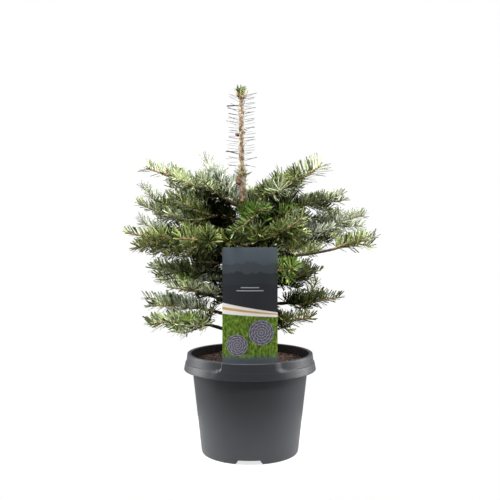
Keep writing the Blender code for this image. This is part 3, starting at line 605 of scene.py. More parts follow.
def turned(radii, heights, turns, poles):
    """Points, quads and end triangles of a closed surface round the Z axis. It has a column of radii
    and heights in mm for each turn in degrees, and runs from one pole's height to the other's."""
    angles = np.radians(turns)[:, None]
    points = np.stack([radii * np.cos(angles), radii * np.sin(angles), heights], axis=-1)
    points = np.concatenate([points.reshape(-1, 3), [(0, 0, pole) for pole in poles]]) * MM
    columns, rows = radii.shape
    start = np.arange(columns) * rows
    after = np.roll(start, -1)
    here, there = (foot[:, None] + np.arange(rows - 1) for foot in (start, after))
    quads = np.stack([here, here + 1, there + 1, there], axis=-1).reshape(-1, 4)
    first = np.stack([np.full(columns, len(points) - 2), start, after], axis=1)
    last = np.stack([np.full(columns, len(points) - 1), after + rows - 1, start + rows - 1], axis=1)
    return points, quads, np.concatenate([first, last])


# Materials


def new_material(name, colour, roughness, **sockets):
    made = bpy.data.materials.new(name)
    made.use_nodes = True
    shader = made.node_tree.nodes["Principled BSDF"]
    shader.inputs["Base Color"].default_value = (*colour, 1.0)
    shader.inputs["Roughness"].default_value = roughness
    for socket, value in sockets.items():
        shader.inputs[socket.replace("_", " ")].default_value = value
    return made


class Nodes:
    """Short calls that add and join the nodes of a material or the world."""

    def __init__(self, owner):
        self.tree = owner.node_tree
        self.shader = self.tree.nodes.get("Principled BSDF")

    def add(self, kind, inputs=(), **settings):
        node = self.tree.nodes.new(kind)
        for setting, value in settings.items():
            setattr(node, setting, value)
        for key, value in dict(inputs).items():
            self.feed(node.inputs[key], value)
        return node

    def feed(self, socket, value):
        if isinstance(value, bpy.types.NodeSocket):
            self.tree.links.new(value, socket)
        else:
            socket.default_value = value

    def math(self, operation, first, second=0.0, third=0.0, clamp=False):
        node = self.add("ShaderNodeMath", operation=operation, use_clamp=clamp)
        for socket, value in zip(node.inputs, (first, second, third)):
            self.feed(socket, value)
        return node.outputs[0]

    def noise(self, vector, scale, detail=3.0, roughness=0.55):
        inputs = {"Vector": vector, "Scale": scale, "Detail": detail, "Roughness": roughness}
        return self.add("ShaderNodeTexNoise", inputs).outputs["Fac"]

    def place(self):
        return self.add("ShaderNodeTexCoord").outputs["Object"]

    def mix(self, share, first, second):
        node = self.add("ShaderNodeMix", {"Factor": share}, data_type="RGBA")
        for key, value in (("A", first), ("B", second)):
            socket = next(s for s in node.inputs if s.name == key and s.type == "RGBA")
            self.feed(socket, (*value, 1.0) if isinstance(value, tuple) else value)
        return next(s for s in node.outputs if s.type == "RGBA")

    def ramp(self, value, *stops):
        node = self.add("ShaderNodeValToRGB", {"Fac": value})
        elements = node.color_ramp.elements
        while len(elements) < len(stops):
            elements.new(0.5)
        for element, (position, colour) in zip(elements, stops):
            element.position = position
            element.color = (*colour, 1.0)
        return node.outputs["Color"]

    def bump(self, height, distance):
        node = self.add("ShaderNodeBump", {"Height": height, "Distance": distance, "Strength": 1.0})
        self.feed(self.shader.inputs["Normal"], node.outputs["Normal"])

    def colour(self, value):
        self.feed(self.shader.inputs["Base Color"], value)

    def rough(self, value):
        self.feed(self.shader.inputs["Roughness"], value)


def mottled(name, low, high, roughness, scale, depth, **sockets):
    """A surface whose colour drifts between two tones, with fine relief."""
    made = new_material(name, low, roughness, **sockets)
    nodes = Nodes(made)
    noise = nodes.noise(nodes.place(), scale)
    nodes.colour(nodes.ramp(noise, (0.35, low), (0.65, high)))
    nodes.bump(noise, depth)
    return made


def needle_material(name, colour, shine, gloss):
    """One plain colour, as the sprays are far finer than a pattern on them, with gloss that varies."""
    material = new_material(name, tuple(colour), 0.5, Specular_IOR_Level=gloss)
    nodes = Nodes(material)
    nodes.rough(nodes.math("MULTIPLY_ADD", nodes.noise(nodes.place(), 180.0, 2.0), 0.2, shine))
    return material


def needle_materials(hue):
    """A shaded tone and four lit ones, for the upper face and for the silvery underside."""
    low, high, under = (np.array(colour) for colour in NEEDLE_HUES[hue])
    upper = (low * SHADE * 2, low * DARKEST_LIT, *between((low, high), np.array([[0.15], [0.6]])), high * 1.1)
    lower = (low * SHADE * 3, *between((low, under), np.array([[0.25], [0.6]])), under * 0.8, under)
    return [
        needle_material(f"needle_{hue}_{face}_{tone}", colour, shine, NEEDLE_GLOSS[tone])
        for face, colours, shine in (("upper", upper, 0.34), ("lower", lower, 0.46))
        for tone, colour in enumerate(colours)
    ]


# Needles and the shoots that they stand on


def needle_mesh(roots, courses, normals, lengths, widths, bends, tones):
    """Points, triangles and slots of many needles: flat above, keeled below, blunt at the tip."""
    side = np.cross(courses, normals)
    rings = []
    for share, wide in NEEDLE_RINGS:
        centre = roots + courses * (lengths * share)[:, None]
        centre = centre + normals * (lengths * bends * share**2)[:, None]
        half = side * (widths * wide / 2)[:, None]
        rings += [centre - half, centre + half, centre - normals * NEEDLE_THICKNESS * wide]
    tip = roots + courses * lengths[:, None] + normals * (lengths * bends)[:, None]
    points = np.stack([*rings, tip - normals * NEEDLE_THICKNESS * 0.3], axis=1)
    pattern = [(0, 1, 2)]
    slots = [1]
    corners = ((0, 1), (1, 2), (2, 0))
    for ring, (first, second) in product((0, 3), corners):
        a, b, c, d = ring + first, ring + second, ring + 3 + second, ring + 3 + first
        pattern += [(a, d, c), (a, c, b)]
        slots += [int(first != 0)] * 2
    for first, second in corners:
        pattern.append((6 + first, 9, 6 + second))
        slots.append(int(first != 0))
    offsets = np.arange(len(roots))[:, None, None] * points.shape[1]
    triangles = (np.array(pattern)[None] + offsets).reshape(-1, 3)
    slots = np.array(slots)[None] * NEEDLE_TONES + tones[:, None]
    return points.reshape(-1, 3), triangles, slots.ravel()


def behind_label(points):
    """True for points that are clear of the label card, on its inner side or above it."""
    turn = np.abs(angle_apart(np.degrees(np.arctan2(points[:, 1], points[:, 0])), FRONT))
    near = (turn < LABEL_HALF_ANGLE + 2) & (points[:, 2] < LABEL_TOP + 1.5 * MM)
    return ~(near & (np.hypot(points[:, 0], points[:, 1]) > LABEL_RADIUS - 2 * MM))


def clear_of_label(roots, tips):
    """True for needles that neither meet the label card nor stand in front of it."""
    across = np.minimum(np.abs(roots[:, 0]), np.abs(tips[:, 0]))
    foremost, lowest = np.minimum(roots, tips)[:, 1:].T
    farthest = np.maximum(np.hypot(roots[:, 0], roots[:, 1]), np.hypot(tips[:, 0], tips[:, 1]))
    near = (across < LABEL_HALF_WIDTH + 2 * MM) & (lowest < LABEL_TOP + 1.5 * MM) & (foremost < 0)
    return ~(near & (farthest > LABEL_RADIUS - 2 * MM))


def grow_needles(shoot, rng):
    """Roots, courses, sizes and tones of the needles on one shoot."""
    path, first = shoot["path"], shoot["first"]
    stations = max(3, round(path_length(path) * (1 - first) / TUFT_PITCH))
    each = max(3, round(TUFT_PITCH / shoot["spacing"]))
    count = stations * each
    index = np.arange(count)
    station = index // each
    shares = first + (1 - first) * (station + 0.5 + rng.uniform(-TUFT_SPREAD, TUFT_SPREAD, count)) / stations
    base, directions = sample(path, shares)
    ahead, up, side = frames_along(directions)
    jitter = rng.uniform(-NEEDLE_TURN_JITTER, NEEDLE_TURN_JITTER, count)
    roll = angle_apart(index * NEEDLE_TURN + jitter, 360)
    under = np.abs(roll) > UNDER_ROLL
    lean = NEEDLE_LEAN + UNDER_LEAN * under + shoot["lean"] * shares**3
    lean = lean + rng.normal(0, NEEDLE_LEAN_SPREAD, count)
    turn, lean = np.radians(roll), np.radians(lean)[:, None]
    outward = up * np.cos(turn)[:, None] + side * np.sin(turn)[:, None]
    lift = (NEEDLE_SIDE_LIFT * np.abs(np.sin(turn)))[:, None]
    course = outward * np.cos(lean) + ahead * np.sin(lean) + up * lift
    course = unit(course + rng.normal(0, NEEDLE_COURSE_SPREAD, (count, 3)))
    facing = up * NEEDLE_FACING[0] + ahead * NEEDLE_FACING[1]
    facing = unit(facing - course * (facing * course).sum(axis=1, keepdims=True))
    twist = rng.normal(0, NEEDLE_TWIST, stations)[station] + rng.normal(0, NEEDLE_TWIST / 3, count)
    twist = np.radians(twist)[:, None]
    facing = facing * np.cos(twist) + np.cross(course, facing) * np.sin(twist)
    reach = shoot["needle"] * (1 - shoot["taper"] * shares**2) * rng.uniform(*NEEDLE_LENGTH_RANGE, count)
    reach[under] *= UNDER_LENGTH
    base = base + outward * (between(shoot["radii"], shares) * 0.6)[:, None]
    keep = (~under | (rng.random(count) < UNDER_SHARE)) & clear_of_label(base, base + course * reach[:, None])
    if shoot["parted"]:
        near = unit(np.array((0.0, -1.0, 0.0)) + ahead * ahead[:, 1:2])
        keep &= ((outward * near).sum(axis=1) < NEAR_SIDE) | (rng.random(count) > shoot["parted"])
    width = np.where(under, UNDER_WIDTH, NEEDLE_WIDTH) * shoot["wide"]
    width = width * rng.uniform(*NEEDLE_WIDTH_RANGE, count)
    bend = rng.uniform(0.0, NEEDLE_BEND, count)
    inside = np.clip((SHADE_REACH - np.hypot(base[:, 0], base[:, 1])) / SHADE_FADE, 0, 1)
    shaded = rng.random(count) < MOST_SHADED * inside * shoot["shade"] + SHADED_BENEATH * under
    banded = (np.arange(stations) % 2 == 0) ^ (rng.random(stations) < ODD_TUFTS)
    bright = banded[station] ^ (rng.random(count) < ODD_NEEDLES)
    tones = np.where(shaded, 0, np.where(bright, 3, 1) + rng.integers(0, 2, count))
    return [value[keep] for value in (base, course, facing, reach, width, bend, tones)]


def twiglets(parent, rng):
    """Shorter twigs along a longer one, to its sides and below it, and on hidden boughs above it."""
    found = []
    path = parent["path"]
    length = path_length(path)
    hidden = "rear" in parent["bough"] or "inner" in parent["bough"]
    for pitch, size, longest, roll_middle, roll_spread in TWIGLET_ROWS:
        step = pitch / length
        first = parent["first"] + step * rng.uniform(0.1, 0.9)
        if roll_middle < UPPER_ROW_ROLL and not hidden:
            continue
        for index, share in enumerate(np.arange(first, TWIGLETS_TO, step)):
            reach = min(longest, length * (1 - share) * size) * rng.uniform(0.8, 1.15)
            if reach < TWIGLET_SHORTEST:
                continue
            root, direction = sample(path, share)
            ahead, up, side = frames_along(direction)
            hand = 1 - 2 * (index % 2)
            roll = math.radians(hand * (roll_middle + rng.normal(0, roll_spread)))
            angle = math.radians(TWIGLET_ANGLE + rng.uniform(-TWIGLET_ANGLE_JITTER, TWIGLET_ANGLE_JITTER))
            outward = side * math.sin(roll) + up * math.cos(roll)
            course = ahead * math.cos(angle) + outward * math.sin(angle)
            slope = math.degrees(math.asin(unit(course)[2]))
            azimuth = math.degrees(math.atan2(course[1], course[0]))
            twig = arc(root, azimuth, slope, slope * 0.5 + 8, hand * TWIGLET_CURL, reach, 3)
            if not behind_label(twig).all():
                continue
            shaded = share < 0.5 and rng.random() < DARK_TWIGLET_SHARE * min(1.0, parent["shade"])
            own = {"path": twig, "first": TWIGLET_LEAFY_FROM, "kind": "twiglet", "radii": TWIGLET_RADII}
            own["hue"] = "deep" if shaded else parent["hue"]
            own["needle"] = parent["needle"] * TWIGLET_NEEDLES
            found.append({**parent, **own})
    return found


def arched(path, shares, arch):
    """The path with its leafy part arched above the plain curve of the solid."""
    middle, tip = arch
    lift = (middle * 4 * shares * (1 - shares) + tip * shares**2) * MM
    return path + lift[:, None] * UP


def crown_shoots(rng):
    """Every leafy shoot of the crown, from boughs to twiglets."""
    paths, sides = crown_twigs()
    shoots = []
    stem_shares = np.linspace(0, 1, STEM_POINTS)
    side_shares = np.linspace(0, 1, SIDE_STEPS + 1)
    for bough in BOUGHS:
        name = bough["name"]
        habit = {**USUAL_HABIT, **HABITS.get(name, {})}
        stem = {
            "path": arched(along(paths[name], stem_shares), stem_shares, habit["arch"]),
            "first": limb_shares(bough)[1] * habit["leafy"],
            "kind": "stem",
            "hue": bough["hue"],
            "bough": name,
            "needle": NEEDLE_LENGTH * habit["needle"],
            "spacing": NEEDLE_SPACING * habit["apart"],
            "wide": min(WIDEST_OF_SPARSE, max(1.0, habit["apart"]) ** 0.5),
            "radii": (LIMB_ROOT_RADIUS, STEM_TIP_RADIUS),
            "shade": habit["shade"],
            "parted": habit["parted"],
            "lean": TIP_LEAN * habit["upright"],
            "taper": TIP_SHORTENING * (2 * habit["upright"] - 1),
        }
        shoots.append(stem)
        shoots += twiglets({**stem, "parted": 0.0, "hue": habit["twig_hue"] or bough["hue"]}, rng)
        branches = []
        side_hues = dict(enumerate(habit["side_hues"]))
        for number, (path, share) in enumerate(sides[name]):
            onward = share + (1 - share) * side_shares
            branches.append((arched(path, onward, habit["arch"]), side_hues.get(number, bough["hue"])))
        for share, azimuth, rise, reach, hue in FINE_SHOOTS.get(name, ()):
            slopes = (rise + change for change in FINE_SHOOT_SLOPES)
            root = along(stem["path"], share)
            branches.append((arc(root, azimuth, *slopes, FINE_SHOOT_CURL, reach * MM, SIDE_STEPS), hue))
        for path, hue in branches:
            own = {"path": path, "first": habit["sides"], "kind": "side", "hue": hue, "radii": SIDE_RADII}
            side = {**stem, **own, "parted": 0.0, "needle": NEEDLE_LENGTH * min(1.0, habit["needle"])}
            shoots += [side, *twiglets(side, rng)]
    return shoots


def make_needles(shoots, rng):
    """One or more joined pieces of needles for each hue."""
    for hue in sorted({shoot["hue"] for shoot in shoots}):
        materials = needle_materials(hue)
        groups = [(Gather(), set())]
        for shoot in shoots:
            if shoot["hue"] != hue:
                continue
            needles = needle_mesh(*grow_needles(shoot, rng))
            if groups[-1][0].triangles + len(needles[1]) > MOST_TRIANGLES:
                groups.append((Gather(), set()))
            group, names = groups[-1]
            group.add(*needles)
            names.add(f"needles_{shoot['bough']}")
        for index, (group, names) in enumerate(groups):
            finish_piece(group.build(f"needles_{hue}_{index + 1}", materials), "needles", *sorted(names))


# Limbs and trunk

STEM_RING_PITCH = 2.2 * MM
STEM_RELIEF = 0.32 * MM
STEM_RELIEF_PITCH = 2.5 * MM
TWIG_RING_PITCH = 6 * MM
TWIG_RELIEF = 0.12 * MM
TWIG_RELIEF_CELLS = 9
COLLAR_SWELLING = 1.4 * MM  # of a bough, a little way out from the trunk
COLLAR_PLACE = 6 * MM
COLLAR_WIDTH = 4 * MM
SHADED_TWIGS_RADIUS = 72 * MM  # twigs nearer the trunk's axis than this, and lower, take the dark old bark as painted shade
SHADED_TWIGS_HEIGHT = 362 * MM
TRUNK_SIDES = 44
TRUNK_RING_PITCH = 0.8  # mm
TRUNK_SMOOTHING = 7  # rings to each side
NODE_SWELLING = 0.9 * MM  # where the leader begins
NODE_WIDTH = 6 * MM
OLD_TRUNK_TO = 400 * MM
OLD_TRUNK_FADE = 60 * MM
SCAR_PITCH = 1.7 * MM
SCARS_FROM = 350 * MM
SCAR_HEIGHT = 0.75 * MM
SCAR_WIDTH = 0.95 * MM
TRUNK_COLLAR_HEIGHT = 1.1 * MM  # of the trunk, round each bough's root
TRUNK_COLLAR_WIDTH = 4.2 * MM


def make_limbs(shoots):
    """Boughs, side twigs and twiglets as tapering bark-covered limbs."""
    bark = [
        # the old bark also serves as painted shade on twigs deep inside the crown
        mottled("bark_old_and_shaded", (0.045, 0.026, 0.016), (0.11, 0.07, 0.042), 0.85, 260.0, 0.3 * MM),
        mottled("bark_young", (0.28, 0.18, 0.075), (0.62, 0.45, 0.24), 0.7, 320.0, 0.2 * MM),
    ]
    limbs, twigs = Gather(), Gather()
    for number, shoot in enumerate(shoots):
        path = shoot["path"]
        length = path_length(path)
        stem = shoot["kind"] == "stem"
        rings = int(length / STEM_RING_PITCH) if stem else max(4, int(length / TWIG_RING_PITCH))
        sides = 10 if stem else 6
        shares = np.linspace(0.02, 1.0, rings)
        radii = between(shoot["radii"], shares)
        climb = shares * TWIG_RELIEF_CELLS
        depth = TWIG_RELIEF
        if stem:
            from_collar = (shares * length - COLLAR_PLACE) / COLLAR_WIDTH
            radii = radii + COLLAR_SWELLING * np.exp(-(from_collar**2))
            climb = shares * length / STEM_RELIEF_PITCH
            depth = STEM_RELIEF
        relief = depth * value_noise(*np.meshgrid(np.arange(sides), climb), sides, 40 + number)
        points, triangles = tube(along(path, shares), radii, sides, relief)
        middle = points[triangles].mean(axis=1)
        reach = np.linalg.norm(middle - path[0], axis=1) / length
        # Stems have old bark near their roots; twigs deep inside the crown take the same dark bark as painted
        # shade
        inside = np.hypot(middle[:, 0], middle[:, 1]) < SHADED_TWIGS_RADIUS
        near = inside & (middle[:, 2] < SHADED_TWIGS_HEIGHT)
        old = reach < shoot["first"] + 0.15 if stem else near
        (limbs if stem else twigs).add(points, triangles, np.where(old, 0, 1))
    nodes = (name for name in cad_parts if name.startswith("bough_"))
    finish_piece(limbs.build("boughs", bark, True), "bark", *nodes)
    finish_piece(twigs.build("twigs", bark, True), "bark")


def trunk_material():
    """Grey-brown at the foot, tan and paler up the leader, with fine scars."""
    made = new_material("bark_trunk", (0.2, 0.12, 0.07), 0.8)
    nodes = Nodes(made)
    place = nodes.place()
    height = nodes.add("ShaderNodeSeparateXYZ", {"Vector": place}).outputs["Z"]
    rise = nodes.math("MULTIPLY_ADD", height, 1 / 0.05, -0.340 / 0.05, clamp=True)
    noise = nodes.noise(place, 230.0, 5.0)
    low = nodes.ramp(noise, (0.35, (0.05, 0.03, 0.02)), (0.65, (0.15, 0.10, 0.065)))
    tans = (0.38, (0.12, 0.060, 0.030)), (0.48, (0.36, 0.26, 0.165)), (0.66, (0.66, 0.56, 0.43))
    high = nodes.ramp(noise, *tans)
    nodes.colour(nodes.mix(rise, low, high))
    nodes.bump(nodes.noise(place, 700.0, 4.0), 0.25 * MM)
    return made


def make_trunk():
    """The trunk and leader with bark relief, branch collars and needle scars."""
    sides = TRUNK_SIDES
    heights = np.arange(TRUNK_STATIONS[0][0], TRUNK_STATIONS[-1][0], TRUNK_RING_PITCH) * MM
    path, radii = (np.array(kind) for kind in zip(*map(trunk_at, heights)))
    window = 2 * TRUNK_SMOOTHING + 1
    padded = np.pad(radii, TRUNK_SMOOTHING, mode="edge")
    smoothed = np.convolve(padded, np.ones(window) / window, mode="valid")
    radii = np.minimum(smoothed, radii + 0.4 * MM)
    radii += NODE_SWELLING * np.exp(-(((heights - LEADER_NODE) / NODE_WIDTH) ** 2))
    turns, climb = np.meshgrid(np.arange(sides), heights)
    risen = climb - heights[0]
    coarse = value_noise(turns / 4, risen / (7 * MM), sides // 4, 3)
    fine = value_noise(turns, risen / (2.2 * MM), sides, 4)
    ridged = 1 - np.abs(value_noise(turns / 2, risen / (16 * MM), sides // 2, 5))
    old = np.clip((OLD_TRUNK_TO - climb) / OLD_TRUNK_FADE, 0, 1)
    relief = MM * (0.22 * coarse + 0.10 * fine + old * (0.32 * ridged - 0.2))
    angle = turns * 360 / sides
    for scar in range(int((TRUNK_TIP - SCARS_FROM) / SCAR_PITCH)):
        across = np.radians(angle_apart(angle, scar * NEEDLE_TURN % 360)) * 3.9 * MM
        above = climb - SCARS_FROM - scar * SCAR_PITCH
        relief += SCAR_HEIGHT * np.exp(-(across**2 + above**2 / 1.6) / SCAR_WIDTH**2)
    for bough in BOUGHS:
        across = np.radians(angle_apart(angle, bough["azimuth"])) * 6 * MM
        above = climb - bough["height"] * MM - 2 * MM
        relief += TRUNK_COLLAR_HEIGHT * np.exp(-(above**2 + across**2) / TRUNK_COLLAR_WIDTH**2)
    points, triangles = tube(path, radii, sides, relief, upright=True)
    points[:, 2] = np.maximum(points[:, 2], heights[0])
    trunk = add_mesh("trunk_bark", points, [triangles], [trunk_material()], smooth=True)
    finish_piece(trunk, "bark", "trunk")


# Leader and buds

LEADER_NEEDLE_COUNT = 84  # along the leader, and again in the tuft at its tip
NODE_NEEDLE_COUNT = 48


def courses(azimuths, slopes):
    """Unit vectors along compass angles and slopes in degrees, and the upright normals to them."""
    turns, slopes = np.radians(azimuths), np.radians(slopes)
    course = np.stack([np.cos(turns) * np.cos(slopes), np.sin(turns) * np.cos(slopes), np.sin(slopes)], 1)
    return course, unit(UP - course * course[:, 2:])


def make_leader(rng):
    """Sparse level needles up the leader, a tuft of green ones at its tip, and a few at its foot."""

    def add_needles(group, roots, course, facing, reach, width, bends):
        bend = rng.uniform(*bends, len(roots))
        tones = rng.integers(1, NEEDLE_TONES, len(roots))
        group.add(*needle_mesh(roots, course, facing, reach, width, bend, tones))

    count = LEADER_NEEDLE_COUNT
    index = np.arange(count)
    leafy = TRUNK_TIP - LEADER_FOOT - 4 * MM
    heights = LEADER_FOOT + (index + rng.uniform(0.2, 0.8, count)) / count * leafy
    centres = np.array([trunk_at(height)[0] for height in heights])
    azimuths = np.array((180, 0, 270, 180, 0, 90))[index % 6] + rng.normal(0, 24, count)
    course, facing = courses(azimuths, 5 + 12 * (index / count) ** 2 + rng.normal(0, 6, count))
    twist = rng.normal(0, 0.7, count)[:, None]
    facing = facing * np.cos(twist) + np.cross(course, facing) * np.sin(twist)
    reach = LEADER_NEEDLE_LENGTH * rng.uniform(0.82, 1.12, count)
    width = rng.uniform(1.1, 2.1, count) * MM
    sparse = Gather()
    add_needles(sparse, centres + course * 3 * MM, course, facing, reach, width, (-0.12, 0.08))
    finish_piece(sparse.build("leader_needles", needle_materials("lead")), "needles")

    tuft = Gather()
    tip, _ = trunk_at(TRUNK_TIP - 6 * MM)
    roots = tip + rng.normal(0, 1.0, (count, 3)) * np.array((2.2, 2.2, 1.8)) * MM
    course, facing = courses(index * NEEDLE_TURN, rng.uniform(50, 86, count))
    reach = (CAD_BOX[1][2] - 0.3 * MM - roots[:, 2]) / course[:, 2] * rng.uniform(0.72, 1.0, count)
    add_needles(tuft, roots, course, facing, reach, np.full(count, 1.5 * MM), (0.0, 0.0))

    node, girth = trunk_at(LEADER_NODE)
    count = NODE_NEEDLE_COUNT
    course, facing = courses(np.arange(count) * NEEDLE_TURN, rng.uniform(10, 60, count))
    roots = node + course * girth * 0.7 + rng.uniform(-5, 2, count)[:, None] * UP * MM
    reach = rng.uniform(8, 14, count) * MM
    add_needles(tuft, roots, course, facing, reach, np.full(count, 1.6 * MM), (-0.05, 0.15))
    finish_piece(tuft.build("leader_tuft", needle_materials("olive")), "needles")


def egg(centre, axis, length, width, rings=7, sides=10):
    """Points and triangles of a pointed egg along an axis, for a bud."""
    axis = unit(np.asarray(axis, float))
    helper = UP if abs(axis[2]) < 0.9 else np.array((1.0, 0.0, 0.0))
    side = unit(np.cross(axis, helper))
    up = np.cross(axis, side)
    shares = np.linspace(0, 1, rings)
    radii = width / 2 * np.sin(math.pi * shares**0.8) ** 0.75
    turns = np.linspace(0, 2 * math.pi, sides, endpoint=False)
    points = [centre - axis * length / 2]
    for share, radius in zip(shares[1:-1], radii[1:-1]):
        middle = centre + axis * length * (share - 0.5)
        points += [middle + (side * math.cos(turn) + up * math.sin(turn)) * radius for turn in turns]
    points.append(centre + axis * length / 2)
    faces = []
    end = 1 + (rings - 3) * sides
    for place in range(sides):
        following = (place + 1) % sides
        faces += [(0, 1 + following, 1 + place), (end + place, end + following, len(points) - 1)]
        for foot in range(1, end, sides):
            a, b = foot + place, foot + following
            faces += [(a, b, b + sides), (a, b + sides, a + sides)]
    return np.array(points), np.array(faces)


TAN, RED, RUSTY, ROSY = range(4)
LEADER_BUDS = (  # height in mm, azimuth, slope, length in mm, colour
    (388.0, 188, 50, 12.0, TAN),
    (383.0, 206, 40, 10.0, RED),
    (353.0, 258, 20, 9.0, RUSTY),
    (349.0, 284, 10, 8.0, RUSTY),
    (357.0, 236, 30, 8.0, RUSTY),
    (348.0, 244, 0, 7.0, RUSTY),
    (395.0, 262, 35, 6.0, TAN),
    (393.0, 330, 38, 6.4, TAN),
    (396.0, 40, 35, 6.4, RED),
    (392.0, 112, 38, 6.4, TAN),
    (455.0, 182, 12, 8.0, RED),
    (457.0, 5, 30, 4.6, TAN),
    (430.0, 96, 30, 5.0, TAN),
    (508.0, 188, 48, 10.0, TAN),
    (506.0, 352, 40, 9.0, TAN),
    (506.0, 268, 34, 7.6, TAN),
    (507.0, 80, 34, 6.6, TAN),
    (511.0, 225, 62, 7.0, TAN),
    (511.0, 40, 62, 7.0, TAN),
)
BUDLESS_TWIGLETS = 0.6
BUDDING_BOUGH = "top_left"
BOUGH_BUDS = (  # a cluster on that bough: share of its stem, to the rear, up, slope and length
    (0.775, -1.6, 2.6, 30, 6.0),
    (0.795, -2.4, 0.2, 8, 6.6),
    (0.810, -1.8, 3.0, 50, 5.6),
    (0.825, -2.6, 1.0, 14, 5.8),
    (0.840, -1.4, 2.4, 34, 5.0),
)


def make_buds(shoots, rng):
    """Winter buds at the tips of the shoots, round the leader and on one bough."""
    group = Gather()
    for shoot in shoots:
        path = shoot["path"]
        if shoot["kind"] == "twiglet" and rng.random() < BUDLESS_TWIGLETS:
            continue
        stem = shoot["kind"] == "stem"
        size = MM if stem else 0.66 * MM
        ahead, _, side = frames_along(unit(path[-1] - path[-2]))
        for across, back in ((0, 0), (1, 1.6), (-1, 1.6)) if stem else ((0, 0),):
            centre = path[-1] + (side * across * 1.5 - ahead * back) * MM
            group.add(*egg(centre, ahead + side * across * 0.6, 4.2 * size, 2.6 * size), TAN)
    for height, turn, slope, size, colour in LEADER_BUDS:
        centre, radius = trunk_at(height * MM)
        out = heading(turn, slope)
        group.add(*egg(centre + out * (radius + size * 0.28 * MM), out, size * MM, size * 0.66 * MM), colour)
    stem = next(shoot["path"] for shoot in shoots if shoot["bough"] == BUDDING_BOUGH)
    for share, across, above, slope, size in BOUGH_BUDS:
        centre = along(stem, share) + np.array((0.0, across, above)) * MM
        group.add(*egg(centre, heading(200, slope), size * MM, size * 0.7 * MM), ROSY)
    finishes = [
        mottled(name, low, high, roughness, 500.0, 0.1 * MM)
        for name, low, high, roughness in (
            ("bud_tan", (0.26, 0.17, 0.085), (0.46, 0.34, 0.19), 0.5),
            ("bud_red", (0.13, 0.045, 0.035), (0.30, 0.13, 0.10), 0.5),
            ("bud_rusty", (0.20, 0.075, 0.020), (0.45, 0.20, 0.07), 0.55),
            ("bud_rosy", (0.42, 0.21, 0.15), (0.74, 0.54, 0.46), 0.55),
        )
    ]
    finish_piece(group.build("buds", finishes, True), "bark")


# Pot

FOOT_RADIUS = 69.6
NOTCHES = 269.0 + np.arange(3) * 120.0
NOTCH_EDGES = np.array((-21, -20, -18.5, -17, -15.2, 15.2, 17, 18.5, 20, 21))
NOTCH_DEPTH = 6.2
SLOT_HALF_ANGLE = 19.4
DRAIN_COUNT = 4
DRAIN_PLACE = 42 * MM
DRAIN_RADIUS = 4.5 * MM


def rounded(corners):
    """A profile with each corner replaced by an arc of its own radius, and long sides divided.
    Corners are radius, height, fillet radius and pieces for the side after it, in millimetres."""
    profile = []
    for index, (x, z, fillet, pieces) in enumerate(corners):
        here = np.array((x, z))
        if fillet:
            before, after = (np.array(corners[index + step][:2]) for step in (-1, 1))
            into, out = unit(before - here), unit(after - here)
            half = math.acos(max(-1.0, min(1.0, float(into @ out)))) / 2
            longest = 0.45 * min(np.linalg.norm(before - here), np.linalg.norm(after - here))
            reach = min(fillet / math.tan(half), longest)
            first, last = here + into * reach, here + out * reach
            for share in np.linspace(0, 1, 5):
                profile.append(first * (1 - share) ** 2 + 2 * here * share * (1 - share) + last * share**2)
        else:
            profile.append(here)
        if pieces > 1 and index < len(corners) - 1:
            start = profile[-1]
            *end, next_fillet, _ = corners[index + 1]
            end = np.array(end) + unit(start - np.array(end)) * next_fillet
            profile += [start * (1 - share) + end * share for share in np.arange(1, pieces) / pieces]
    return np.array(profile)


def pot_profile(band, top, step_out, step_in, slot):
    """Radius and height from the inner floor up and over the rim, and down to the middle below."""
    return rounded(
        [
            (0.0, 8.6, 0, 6),
            (67.8, 8.6, 2.0, 8),
            (82.2, 130.0, 0, 3),
            (85.0, 143.8, 1.4, 1),
            *((*corner, 0, 1) for corner in slot),
            (band, top, 1.4, 8),
            (*step_in, 0.5, 1),
            (*step_out, 0.8, 6),
            (95.0, 121.1, 0.4, 1),
            (94.6, 120.6, 0.1, 1),
            (93.2, 120.6, 0.3, 3),
            (90.4, 132.5, 0.8, 2),
            (87.6, 139.4, 0.8, 1),
            (84.5, 139.4, 0.6, 2),
            (84.0, 130.0, 0, 14),
            (FOOT_RADIUS, 0.0, 4.0, 3),
            (61.0, 0.0, 0.8, 2),
            (59.7, 6.6, 0.8, 8),
            (21.3, 6.6, 0.8, 2),
            (20.0, 0.0, 0.6, 3),
            (0.0, 0.0, 0, 1),
        ]
    )


